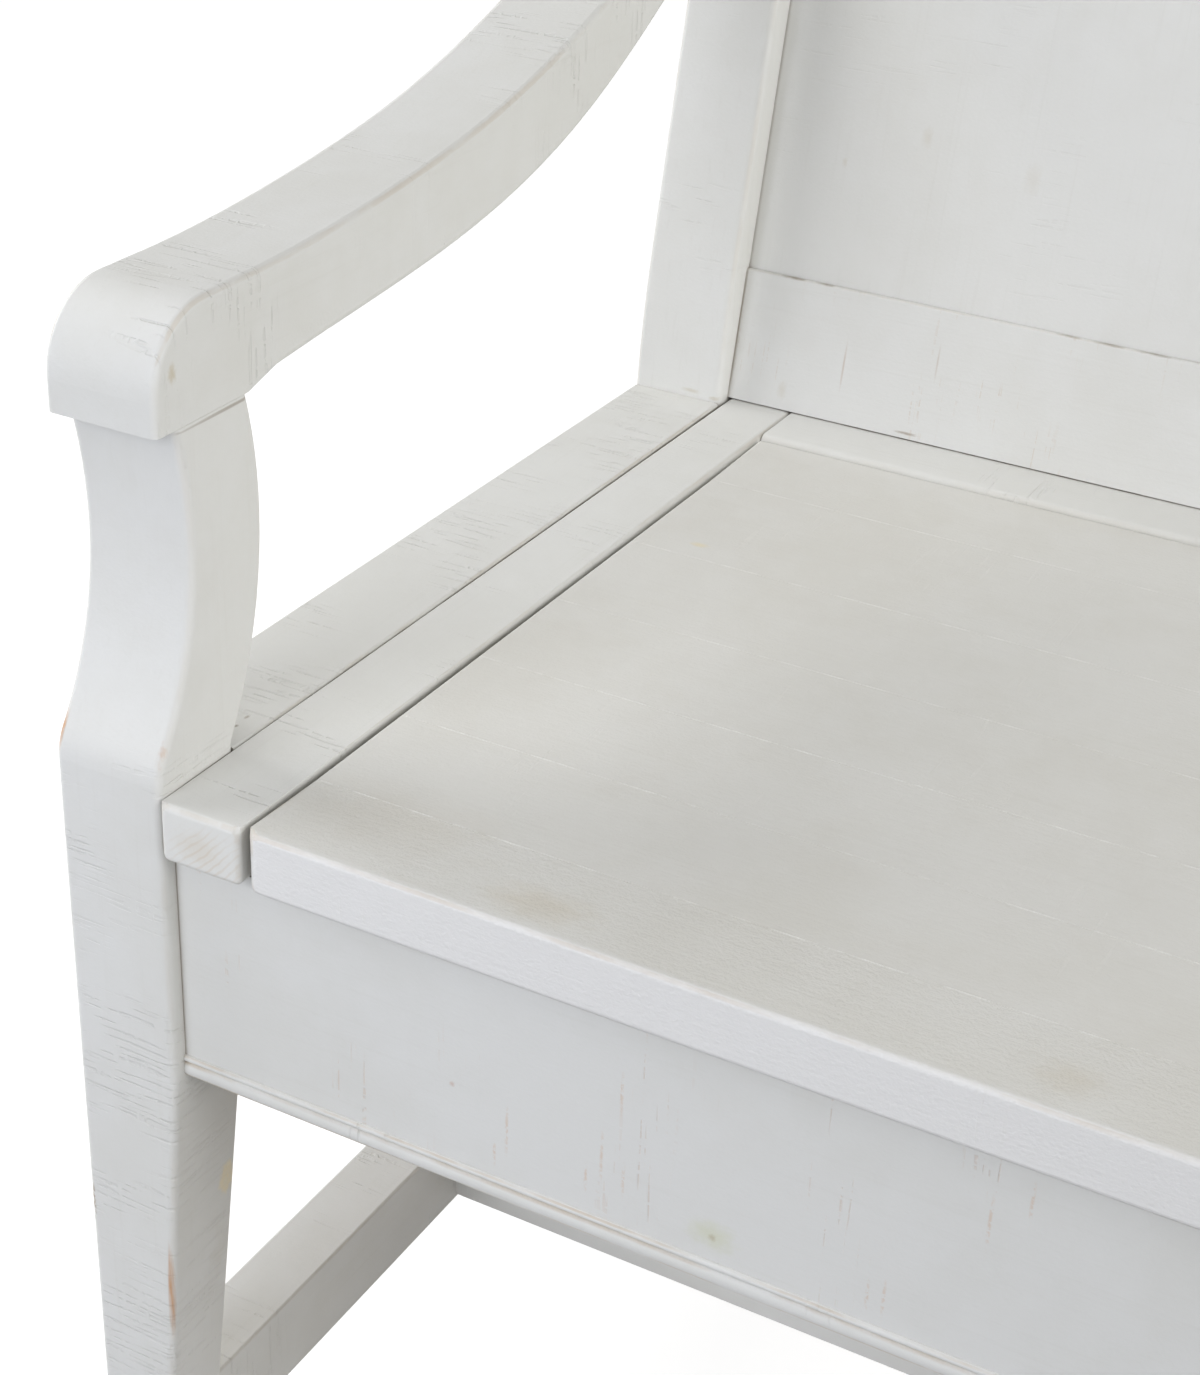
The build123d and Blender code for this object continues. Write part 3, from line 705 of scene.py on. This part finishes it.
@dataclass(frozen=True)
class PlatedSteel:
    """Dull plated steel of hinges and screws.

    Attributes:
        name: material name.
        tone: linear colour.
        tarnish: linear colour in patches.
        rough: mean roughness.
    """

    name: str
    tone: Triple = (0.52, 0.47, 0.38)
    tarnish: Triple = (0.30, 0.24, 0.16)
    rough: float = 0.34

    # Colour of rubbed edges, features per metre, and relief in metres.
    BRIGHT = (0.70, 0.66, 0.58)
    CLOUD = 120.0
    BRUSHED = (60.0, 2400.0, 2400.0)
    RELIEF = 0.00003

    def material(self) -> bpy.types.Material:
        """Build the metal.

        Returns:
            The material.
        """
        graph = Graph(self.name)
        cloud = graph.noise(graph.place, self.CLOUD, 4.0)
        brushed = graph.streaks(graph.place, self.BRUSHED, 2.0, 0.5)
        colour = graph.mix(graph.step(cloud, 0.48, 0.7, 0.7), self.tone, self.tarnish)
        edge = graph.edges(graph.normal, Ease.SQUARE)
        colour = graph.mix(graph.step(edge, 0.3, 0.9, 0.4), colour, self.BRIGHT)
        graph.shader.inputs["Metallic"].default_value = 1.0
        sheen = graph.plus(self.rough - 0.1, cloud, 0.3)
        return graph.surface(colour, sheen, graph.bump(brushed, self.RELIEF))


@dataclass(frozen=True)
class GlidePlastic:
    """Scuffed moulded plastic of the floor glides.

    Attributes:
        name: material name.
        tone: linear colour.
        scuff: linear colour of scuffs.
    """

    name: str
    tone: Triple = (0.33, 0.31, 0.28)
    scuff: Triple = (0.50, 0.48, 0.44)

    # Features per metre, least roughness, and relief in metres.
    CLOUD = 220.0
    SATIN = 0.38
    RELIEF = 0.0001

    def material(self) -> bpy.types.Material:
        """Build the plastic.

        Returns:
            The material.
        """
        graph = Graph(self.name)
        cloud = graph.noise(graph.place, self.CLOUD, 4.0, 0.65)
        colour = graph.mix(graph.step(cloud, 0.5, 0.72), self.tone, self.scuff)
        return graph.surface(colour, graph.plus(self.SATIN, cloud, 0.3), graph.bump(cloud, self.RELIEF))


def dress(nodes: tuple[str, ...], finish: object) -> None:
    """Give CAD nodes their finish and log each one.

    Args:
        nodes: names of CAD nodes.
        finish: a finish with a material() method.
    """
    material = finish.material()
    for name in nodes:
        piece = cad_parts[name]
        piece.data.materials.clear()
        piece.data.materials.append(material)
        LOG.info("dressed %s in %s", name, material.name)


def sides(name: str) -> tuple[str, str]:
    """Names of a left and a right piece, from what follows left_ and right_."""
    return "left_" + name, "right_" + name


@dataclass
class Board:
    """A flat board remade from its CAD node's box with softly worn edges.

    Attributes:
        node: CAD node it stands for.
        body: body it rides on.
        front: ease of the front top edge, metres.
        rear: ease of the rear top edge, metres.
        ends: ease of the left and right top edges, metres.
        under: ease of the lower edges on the shown sides, metres.
        corner: plan radius of the front corners, metres.
        wave: height of the hand-planed waviness, metres.
        cell: spacing of the cuts that carry the waviness, metres.
    """

    node: str
    body: str
    front: float = 0.0004
    rear: float = 0.0004
    ends: float = 0.0018
    under: float = 0.0
    corner: float = 0.0
    wave: float = 0.0001
    cell: float = 0.03

    # How near counts as touching and as on the cut, metres.
    TOUCH = 1e-5
    ON_CUT = 1e-6
    # Steps round a plan corner and round an edge, waves per metre, and the least angle of a sharp edge.
    CORNER_STEPS = 5
    EDGE_STEPS = 3
    WAVES = 9.0
    SHARP = math.radians(40)

    def build(self) -> bpy.types.Object:
        """Model the board.

        Returns:
            The finished object.
        """
        low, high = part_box(self.node)
        size = high - low
        mesh = bmesh.new()
        bmesh.ops.create_cube(mesh, size=1.0)
        bmesh.ops.scale(mesh, vec=size, verts=mesh.verts)
        bmesh.ops.translate(mesh, vec=(low + high) / 2, verts=mesh.verts)
        if self.corner:
            posts = [edge for edge in mesh.edges
                     if self.upright(edge) and edge.verts[0].co.y < low.y + self.corner]
            self.bevel(mesh, posts, self.corner, self.CORNER_STEPS)
        for width in sorted({self.front, self.rear, self.ends}, reverse=True):
            self.bevel(mesh, self.rim(mesh, low, high, high.z, width), width, self.EDGE_STEPS)
        if self.under:
            lower = self.rim(mesh, low, high, low.z, self.front)
            lower += self.rim(mesh, low, high, low.z, self.ends)
            self.bevel(mesh, list(dict.fromkeys(lower)), self.under, self.EDGE_STEPS)
        self.cut(mesh, low, size)
        for vert in mesh.verts:
            if vert.co.z > high.z - self.TOUCH:
                vert.co.z += self.wave * (noise.noise(vert.co * self.WAVES) - 1.0) / 2
        bmesh.ops.recalc_face_normals(mesh, faces=mesh.faces[:])
        return self.finish(mesh)

    @staticmethod
    def upright(edge: bmesh.types.BMEdge) -> bool:
        """Tell whether an edge stands up along Z."""
        way = edge.verts[0].co - edge.verts[1].co
        return abs(way.z) > max(abs(way.x), abs(way.y))

    @staticmethod
    def bevel(mesh: bmesh.types.BMesh, edges: list, width: float, segments: int) -> None:
        """Round some edges by a width in metres."""
        bmesh.ops.bevel(mesh, geom=edges, offset=width, offset_type="OFFSET", segments=segments,
                        profile=0.5, affect="EDGES", material=-1)

    def rim(self, mesh: bmesh.types.BMesh, low: Vector, high: Vector, level: float, width: float) -> list:
        """Edges round one level of the board whose side has a given ease.

        Args:
            mesh: the board.
            low: lowest corner.
            high: highest corner.
            level: height of the edges.
            width: the ease asked for.

        Returns:
            The edges.
        """
        found = []
        for edge in mesh.edges:
            if any(abs(vert.co.z - level) > self.TOUCH for vert in edge.verts):
                continue
            middle = (edge.verts[0].co + edge.verts[1].co) / 2
            at_end = min(middle.x - low.x, high.x - middle.x) < self.TOUCH
            at_rear = high.y - middle.y < self.TOUCH
            at_front = middle.y - low.y < self.corner + self.TOUCH and not at_end
            sides_here = ((at_front, self.front), (at_rear, self.rear), (at_end, self.ends))
            if any(here and ease == width for here, ease in sides_here):
                found.append(edge)
        return found

    def cut(self, mesh: bmesh.types.BMesh, low: Vector, size: Vector) -> None:
        """Cut the board across its length, so that it can be uneven.

        Args:
            mesh: the board.
            low: lowest corner.
            size: length, width and thickness.
        """
        way = Vector((1.0, 0.0, 0.0) if size.x > size.y else (0.0, 1.0, 0.0))
        length = max(size.x, size.y)
        steps = max(2, int(length / self.cell))
        for index in range(1, steps):
            geometry = mesh.verts[:] + mesh.edges[:] + mesh.faces[:]
            spot = low + way * (length * index / steps)
            bmesh.ops.bisect_plane(mesh, geom=geometry, plane_co=spot, plane_no=way, dist=self.ON_CUT)

    def finish(self, mesh: bmesh.types.BMesh) -> bpy.types.Object:
        """Turn the mesh into an object in the CAD node's place.

        Args:
            mesh: the board.

        Returns:
            The object.
        """
        data = bpy.data.meshes.new("worn_" + self.node)
        mesh.to_mesh(data)
        mesh.free()
        data.set_sharp_from_angle(angle=self.SHARP)
        piece = bpy.data.objects.new("worn_" + self.node, data)
        bpy.context.scene.collection.objects.link(piece)
        weigh = piece.modifiers.new("flat_faces", "WEIGHTED_NORMAL")
        weigh.keep_sharp = True
        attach(piece, self.body)
        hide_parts(self.node)
        LOG.info("built %s", piece.name)
        return piece


@dataclass
class Lid:
    """The lift-up seat: seven boards, battens and their screws.

    Attributes:
        count: number of boards.
        nosing: ease of the front edge, metres.
        rear_ease: ease of the rear edge, metres.
        end_ease: ease of the boards' ends, metres.
        corner: plan radius of the front corners, metres.
    """

    count: int = 7
    nosing: float = 0.0024
    rear_ease: float = 0.003
    end_ease: float = 0.0026
    corner: float = 0.0065

    def build(self) -> None:
        """Remake the boards and dress the rest."""
        stains = (
            Mark((-0.485, -0.289, 0.470), (0.030, 0.014, 0.02), STAIN, 0.30),
            Mark((-0.294, -0.286, 0.470), (0.016, 0.012, 0.02), STAIN, 0.22),
            Mark((-0.570, -0.001, 0.470), (0.006, 0.003, 0.02), YELLOW, 0.35),
            # Faint brown stain on the seat's front left, partly painted shadow of the arm post.
            Mark((-0.560, -0.270, 0.470), (0.060, 0.030, 0.02), STAIN, 0.14),
        )
        # Lighter paint on the lid's front face and edge: thicker paint there, and painted light on the
        # front.
        thick_paint_and_light = Mark((0.0, -0.3048, 0.450), (ALL_ALONG, 0.004, 0.3), (0.760, 0.752, 0.738), 1.0)
        # Dark line along the lid's lower front edge, a painted shadow under the nosing.
        lip_shadow = Mark((0.0, -0.3044, 0.4456), (ALL_ALONG, 0.004, 0.0016), (0.40, 0.39, 0.38), 0.5)
        seams = tuple(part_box(f"lid_board_{index}")[1].y for index in range(1, self.count))
        # Darker paint than the rest of the bench, painted shade on the seat boards.
        tone = (0.690, 0.680, 0.646)
        shade = (0.655, 0.641, 0.598)
        saw = SawMarks(0.1, colour=(0.75, 0.74, 0.70), strength=0.2, depth=0.00008)
        front = PaintedWood("lid_front_paint", Grain.X, tone=tone, shade=shade, saw=saw, tan=0.28,
                            grime_and_shade=0.2, peel=0.0006, marks=stains + (thick_paint_and_light, lip_shadow), seams=seams)
        rest = replace(front, name="lid_paint", tan=0.05, peel=0.0003, marks=stains)
        front_material = front.material()
        rest_material = rest.material()
        for index in range(1, self.count + 1):
            board = Board(f"lid_board_{index}", "lid", ends=self.end_ease)
            if index == 1:
                board.front = self.nosing
                board.under = self.nosing / 2
                board.corner = self.corner
            if index == self.count:
                board.rear = self.rear_ease
            piece = board.build()
            piece.data.materials.append(front_material if index == 1 else rest_material)
        battens = sides("lid_batten") + ("middle_lid_batten",)
        dress(battens, BareWood("batten_wood", Grain.Y))


@dataclass
class Surround:
    """Fixed strips and caps round the lid.

    Attributes:
        ease: ease of the strips' front edges, metres.
        side_ease: ease of the strips' long edges, metres.
    """

    ease: float = 0.0030
    side_ease: float = 0.0036

    def build(self) -> None:
        """Remake the strips and dress the caps."""
        tone = (0.735, 0.732, 0.706)
        shade = (0.705, 0.700, 0.668)
        nails = (
            Mark((-0.6465, -0.2435, 0.470), (0.0012, 0.0016, 0.004), (0.20, 0.15, 0.10), 0.7),
            Mark((-0.6471, -0.2356, 0.470), (0.0012, 0.0022, 0.004), (0.24, 0.18, 0.12), 0.6),
        )
        cap = PaintedWood("cap_paint", Grain.Y, tone=tone, shade=shade, saw=SawMarks(0.75), tan=0.25,
                          marks=nails)
        dress(sides("side_cap"), cap)
        end_grain = (
            Mark((-0.6150, -0.3045, 0.4520), (0.024, 0.003, 0.019), (0.56, 0.44, 0.30), 0.28,
                 hatch=2300.0),
            Mark((-0.6190, -0.3045, 0.4560), (0.014, 0.003, 0.010), (0.56, 0.46, 0.32), 0.25),
        )
        strips = replace(cap, name="strip_paint", saw=SawMarks(0.3), tan=0.2, grime_and_shade=0.3, marks=end_grain)
        material = strips.material()
        for name in sides("seat_strip"):
            strip = Board(name, "frame", front=self.ease, ends=self.side_ease, under=self.ease,
                          corner=self.ease)
            strip.build().data.materials.append(material)
        rear = replace(cap, name="rear_strip_paint", grain=Grain.X, saw=SawMarks(0.3), tan=0.06, marks=())
        dress(("rear_seat_strip",), rear)


@dataclass
class Box:
    """Aprons, bead, cleats and the storage floor.

    Attributes:
        face: place of the front apron's face along Y, metres.
        spots: place along X and Z and half height of each rusty streak on it, metres.
    """

    face: float = -0.2964
    spots: tuple[Triple, ...] = (
        (-0.497, 0.362, 0.008), (-0.492, 0.374, 0.016), (-0.459, 0.367, 0.009), (-0.453, 0.379, 0.017),
        (-0.444, 0.372, 0.010), (-0.446, 0.409, 0.013), (-0.349, 0.363, 0.009), (-0.343, 0.364, 0.011),
        (-0.310, 0.412, 0.015), (-0.297, 0.426, 0.011),
    )

    def build(self) -> None:
        """Dress the box."""
        dashes = SawMarks(0.0, colour=(0.62, 0.48, 0.38), strength=0.35, broken=0.8, depth=0.00015,
                          pitch=700.0, reach=24.0)
        streaks = tuple(Mark((x, self.face, z), (0.0010, 0.004, tall), RUST, 0.45, broken=700.0)
                        for x, z, tall in self.spots)
        knots = streaks + (
            Mark((-0.408, self.face, 0.3626), (0.013, 0.006, 0.009), PALE_GREEN, 0.42),
            Mark((-0.408, self.face, 0.3618), (0.0022, 0.003, 0.0022), (0.42, 0.36, 0.22), 0.5),
            Mark((-0.5153, self.face, 0.3858), (0.0016, 0.003, 0.0016), (0.52, 0.34, 0.26), 0.5),
        )
        # Dark joint line where the apron meets the leg, partly painted shade in that corner.
        crack = (Mark((-0.6372, self.face, 0.400), (0.0014, 0.020, 0.30), JOINT_BROWN, 0.75),)
        front = PaintedWood("apron_paint", Grain.X, saw=dashes, tan=0.0, marks=knots + crack)
        dress(("front_apron", "rear_apron"), front)
        bead = PaintedWood("bead_paint", Grain.X, saw=SawMarks(0.0), tan=0.48)
        dress(("front_apron_bead",), bead)
        dress(sides("side_apron"), PaintedWood("side_apron_paint", Grain.Y, saw=dashes, tan=0.1))
        cleats = sides("strip_cleat") + sides("floor_cleat")
        dress(cleats, BareWood("side_cleat_wood", Grain.Y))
        dress(("front_floor_cleat", "rear_floor_cleat"), BareWood("long_cleat_wood", Grain.X))
        ply = BareWood("floor_ply", Grain.X, pale=(0.60, 0.46, 0.29), dark=(0.54, 0.40, 0.24))
        dress(("storage_floor",), ply)


@dataclass
class Legs:
    """Front legs with arm posts, rear posts, stretchers and glides."""

    def build(self) -> None:
        """Dress the legs and what joins them."""
        rubs = (
            Mark((-0.638, -0.3005, 0.4945), (0.0045, 0.0045, 0.013), WORN_WOOD, 1.0),
            Mark((-0.685, -0.3005, 0.4870), (0.006, 0.008, 0.014), WORN_WOOD, 0.9),
            Mark((-0.6455, -0.3036, 0.2250), (0.0022, 0.003, 0.040), WORN_WOOD, 0.85),
            Mark((-0.685, -0.3036, 0.2640), (0.007, 0.007, 0.014), (0.28, 0.20, 0.13), 1.0, broken=420.0),
        )
        knots = (
            Mark((-0.643, -0.2680, 0.2687), (0.008, 0.007, 0.011), GOLD, 0.80, 7.0),
            Mark((-0.637, -0.2450, 0.6072), (0.003, 0.060, 0.0010), JOINT_BROWN, 0.6),
            Mark((-0.646, -0.2726, 0.2359), (0.004, 0.010, 0.020), STAIN, 0.22),
        )
        front = PaintedWood("leg_paint", Grain.Z, Ease.SWEPT, tan=0.08, marks=knots, rubs=rubs,
                            saw=SawMarks(0.85, below=0.47, depth=0.00024))
        dress(("front_left_leg", "front_right_leg"), front)
        foot = (
            Mark((-0.6532, 0.1512, 0.4735), (0.007, 0.006, 0.0016), STAIN, 0.35),
            Mark((-0.6400, 0.1530, 0.4720), (0.004, 0.006, 0.0016), STAIN, 0.40),
        )
        # Lighter paint than the rest of the bench, painted light on the rear posts.
        rear = PaintedWood("post_paint", Grain.Z, Ease.SWEPT, tone=(0.775, 0.773, 0.752),
                           shade=(0.745, 0.741, 0.712), saw=SawMarks(0.0, depth=0.00015), tan=0.12,
                           marks=foot)
        dress(("rear_left_post", "rear_right_post"), rear)
        side = PaintedWood("side_stretcher_paint", Grain.Y, saw=SawMarks(0.4), tan=0.1)
        dress(sides("side_stretcher"), side)
        # Lighter paint than the rest of the bench, painted light on the long stretcher.
        long = PaintedWood("long_stretcher_paint", Grain.X, tone=(0.765, 0.763, 0.742),
                           shade=(0.735, 0.731, 0.702), saw=SawMarks(0.4), tan=0.1)
        dress(("long_stretcher",), long)
        dress(("floor_glides",), GlidePlastic("glide_plastic"))


@dataclass
class Arms:
    """The two scrolled arms and their dowels."""

    def build(self) -> None:
        """Dress the arms."""
        stains = (
            Mark((-0.637, -0.284, 0.630), (0.003, 0.003, 0.005), STAIN, 0.6),
            Mark((-0.637, -0.283, 0.607), (0.003, 0.006, 0.0018), (0.36, 0.28, 0.18), 0.6),
        )
        finish = PaintedWood("arm_paint", Grain.Y, Ease.SWEPT, saw=SawMarks(0.5), tan=0.26, skyward=0.15,
                             marks=stains)
        dress(sides("arm"), finish)
        dress(("arm_dowels",), BareWood("dowel_wood", Grain.Z, pale=(0.62, 0.47, 0.29)))


@dataclass
class Back:
    """Rails, muntins and panels in the raked plane.

    Attributes:
        lean: tilt of the back about X, radians.
        tone: linear colour of the paint, lighter than elsewhere as painted light on the back.
        shade: linear colour the paint drifts to in patches.
        joint: place along Y and Z of the line between rail and panels, metres.
        gaps: place along X, half length, half height and strength of each dark stretch of that line.
    """

    lean: float = -RAKE
    # Slightly lighter paint than elsewhere, painted light on the back.
    tone: Triple = (0.730, 0.728, 0.708)
    shade: Triple = (0.700, 0.695, 0.666)
    joint: tuple[float, float] = (0.1753, 0.5350)
    gaps: tuple[tuple[float, ...], ...] = (
        (-0.6110, 0.0090, 0.0012, 1.0), (-0.5940, 0.0070, 0.0011, 0.9), (-0.4680, 0.0090, 0.0010, 0.75),
        (-0.4480, 0.0110, 0.0011, 0.85), (-0.4260, 0.0120, 0.0011, 0.85),
    )

    def build(self) -> None:
        """Dress the back."""
        dashes = SawMarks(0.0, colour=(0.58, 0.45, 0.34), strength=0.3, broken=0.8, depth=0.0001,
                          pitch=760.0)
        joints = tuple(Mark((x, *self.joint), (half, 0.003, tall), JOINT_BROWN, strength)
                       for x, half, tall, strength in self.gaps)
        streaks = (
            Mark((-0.6367, 0.1690, 0.5050), (0.0013, 0.030, 0.0700), JOINT_BROWN, 0.7),
            Mark((-0.5776, 0.1675, 0.4980), (0.0008, 0.020, 0.0150), (0.50, 0.39, 0.31), 0.5),
            Mark((-0.5298, 0.1698, 0.5095), (0.0007, 0.020, 0.0110), (0.50, 0.40, 0.32), 0.4),
            Mark((-0.6080, 0.1635, 0.4800), (0.0035, 0.020, 0.0060), STAIN, 0.2),
            Mark((-0.5395, 0.1620, 0.4732), (0.0080, 0.010, 0.0010), (0.30, 0.23, 0.16), 0.7),
        )
        rails = PaintedWood("rail_paint", Grain.X, tone=self.tone, shade=self.shade, saw=dashes, tan=0.14,
                            lean=self.lean, marks=joints + streaks)
        dress(("back_bottom_rail", "back_crest_rail"), rails)
        muntins = replace(rails, name="muntin_paint", grain=Grain.Z, saw=SawMarks(0.2), tan=0.1, marks=())
        dress(sides("back_muntin"), muntins)
        specks = (
            Mark((-0.5556, 0.19, 0.6103), (0.004, 0.03, 0.007), STAIN, 0.18),
            Mark((-0.5004, 0.19, 0.6000), (0.006, 0.03, 0.010), STAIN, 0.12),
            Mark((-0.5954, 0.19, 0.5925), (0.002, 0.03, 0.003), STAIN, 0.2),
            Mark((-0.6367, 0.22, 0.7400), (0.0012, 0.30, 0.50), JOINT_BROWN, 0.3),
        )
        panels = sides("back_panel") + ("middle_back_panel",)
        faint = SawMarks(0.05, strength=0.05, depth=0.0001)
        panel = replace(muntins, name="panel_paint", saw=faint, tan=0.0, marks=specks)
        dress(panels, panel)


@dataclass
class Hinges:
    """Butt hinges and every screw."""

    def build(self) -> None:
        """Dress the metal."""
        leaves = tuple(f"{side}_hinge_{piece}" for side in ("left", "middle", "right")
                       for piece in ("lid_leaf", "fixed_leaf", "pin"))
        dress(leaves, PlatedSteel("hinge_steel"))
        screws = ("hinge_fixed_screws", "hinge_lid_screws", "lid_batten_screws")
        dress(screws, PlatedSteel("screw_steel", tone=(0.50, 0.48, 0.44), rough=0.4))


@dataclass(frozen=True)
class SoftLight:
    """A large soft lamp aimed at the bench.

    Attributes:
        name: lamp name.
        place: where it hangs, metres.
        aim: point it faces, metres.
        size: side of the square, metres.
        power: watts.
        colour: linear colour.
    """

    name: str
    place: Triple
    aim: Triple
    size: float
    power: float
    colour: Triple = (1.0, 1.0, 1.0)

    def build(self) -> None:
        """Hang the lamp."""
        data = bpy.data.lights.new(self.name, "AREA")
        data.size = self.size
        data.energy = self.power
        data.color = self.colour
        lamp = bpy.data.objects.new(self.name, data)
        bpy.context.scene.collection.objects.link(lamp)
        lamp.location = self.place
        way = Vector(self.aim) - Vector(self.place)
        lamp.rotation_euler = way.to_track_quat("-Z", "Y").to_euler()
        LOG.info("hung %s", self.name)


@dataclass
class Studio:
    """Floor, light and the camera at the photo's angle.

    Attributes:
        eye: camera's place, metres.
        azimuth: turn of the view to the left, degrees.
        elevation: how far the view looks down, degrees.
        roll: tilt of the camera, degrees.
        lens: focal length on the sensor's width, millimetres.
        floor_half: half the floor's side, metres.
        floor_tone: the floor's grey under the lamps.
        glow_near: the floor's own white near the bench, for the camera alone.
        glow_far: the same far away, where the lamps don't reach.
        glow_reach: how far from the bench the far white starts and is full, metres.
        sky: brightness of the even light all round.
        lamps: soft lamps.
    """

    eye: Triple = (-0.1271, -0.92686, 0.9558)
    azimuth: float = 27.90
    elevation: float = 28.65
    roll: float = 2.244
    lens: float = 66.456
    floor_half: float = 60.0
    floor_tone: float = 0.42
    glow_near: float = 0.75
    glow_far: float = 0.93
    glow_reach: tuple[float, float] = (1.4, 4.5)
    sky: float = 0.2
    lamps: tuple[SoftLight, ...] = (
        SoftLight("front_light", (-0.95, -1.45, 0.85), (-0.55, 0.0, 0.5), 1.0, 7.2, (0.92, 0.98, 1.15)),
        SoftLight("far_light", (-1.3, -2.8, 1.9), (-0.5, 0.0, 0.5), 1.6, 14.5, (1.0, 0.985, 0.90)),
        SoftLight("side_light", (2.8, -0.4, 1.7), (-0.4, 0.0, 0.5), 2.4, 77.0, (1.0, 1.0, 0.99)),
        SoftLight("top_light", (-0.3, -2.2, 2.4), (-0.4, 0.0, 0.5), 2.2, 10.0),
        SoftLight("left_light", (-2.6, -0.1, 1.5), (-0.5, 0.0, 0.45), 1.6, 39.0),
        SoftLight("rear_light", (0.5, 3.2, 0.95), (0.0, 0.2, 0.6), 1.6, 24.0),
    )

    SENSOR = 36.0
    NEAREST = 0.01
    WHITE = (1.0, 1.0, 1.0, 1.0)

    def build(self) -> None:
        """Set the stage."""
        self.floor()
        self.sky_light()
        for lamp in self.lamps:
            lamp.build()
        self.camera()
        bpy.context.scene.view_settings.view_transform = "Standard"

    def floor(self) -> None:
        """Lay a plain pale floor that keeps the bench's shadow."""
        mesh = bmesh.new()
        bmesh.ops.create_grid(mesh, x_segments=2, y_segments=2, size=self.floor_half)
        data = bpy.data.meshes.new("floor")
        mesh.to_mesh(data)
        mesh.free()
        floor = bpy.data.objects.new("floor", data)
        bpy.context.scene.collection.objects.link(floor)
        graph = Graph("floor_white")
        graph.shader.inputs["Base Color"].default_value = (*[self.floor_tone] * 3, 1.0)
        graph.shader.inputs["Roughness"].default_value = 0.9
        graph.shader.inputs["Specular IOR Level"].default_value = 0.0
        graph.shader.inputs["Emission Color"].default_value = self.WHITE
        away = graph.vector("LENGTH", graph.place).outputs[1]
        more = graph.step(away, *self.glow_reach, self.glow_far - self.glow_near)
        seen = self.seen(graph.nodes, graph.links)
        glow = graph.times(seen, graph.math("ADD", more, self.glow_near))
        graph.feed(graph.shader.inputs["Emission Strength"], glow)
        data.materials.append(graph.material)
        LOG.info("laid floor")

    @staticmethod
    def seen(nodes: bpy.types.Nodes, links: bpy.types.NodeLinks) -> Socket:
        """Rays that see the white background: the camera's, mirrored ones and ones through glass.

        Args:
            nodes: nodes of the floor or the sky.
            links: their links.

        Returns:
            The socket, 1 for such a ray and 0 for light on the bench.
        """
        path = nodes.new("ShaderNodeLightPath")
        share = path.outputs["Is Camera Ray"]
        for kind in ("Is Glossy Ray", "Is Transmission Ray"):
            either = nodes.new("ShaderNodeMath")
            either.operation = "MAXIMUM"
            links.new(share, either.inputs[0])
            links.new(path.outputs[kind], either.inputs[1])
            share = either.outputs[0]
        return share

    def sky_light(self) -> None:
        """Light the bench evenly from all round, with a white background behind it."""
        world = bpy.data.worlds.new("studio")
        bpy.context.scene.world = world
        world.use_nodes = True
        nodes = world.node_tree.nodes
        links = world.node_tree.links
        nodes.clear()
        light = nodes.new("ShaderNodeBackground")
        light.inputs["Color"].default_value = self.WHITE
        light.inputs["Strength"].default_value = self.sky
        white = nodes.new("ShaderNodeBackground")
        white.inputs["Color"].default_value = self.WHITE
        white.inputs["Strength"].default_value = 1.0
        mix = nodes.new("ShaderNodeMixShader")
        output = nodes.new("ShaderNodeOutputWorld")
        links.new(self.seen(nodes, links), mix.inputs[0])
        links.new(light.outputs[0], mix.inputs[1])
        links.new(white.outputs[0], mix.inputs[2])
        links.new(mix.outputs[0], output.inputs["Surface"])

    def camera(self) -> None:
        """Put the camera where the photo was taken from."""
        data = bpy.data.cameras.new("photo_camera")
        data.lens = self.lens
        data.sensor_width = self.SENSOR
        data.clip_start = self.NEAREST
        camera = bpy.data.objects.new("photo_camera", data)
        bpy.context.scene.collection.objects.link(camera)
        tilt = math.radians(90.0 - self.elevation)
        aim = Euler((tilt, 0.0, math.radians(self.azimuth))).to_matrix()
        turn = aim @ Matrix.Rotation(math.radians(self.roll), 3, "Z")
        camera.matrix_world = Matrix.Translation(self.eye) @ turn.to_4x4()
        bpy.context.scene.camera = camera


def main() -> None:
    """Build the bench in order, then the stage."""
    logging.basicConfig(level=logging.INFO, format="%(message)s")
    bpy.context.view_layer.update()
    for assembly in (Legs(), Box(), Surround(), Lid(), Hinges(), Back(), Arms(), Studio()):
        assembly.build()


if __name__ == "__main__":
    main()
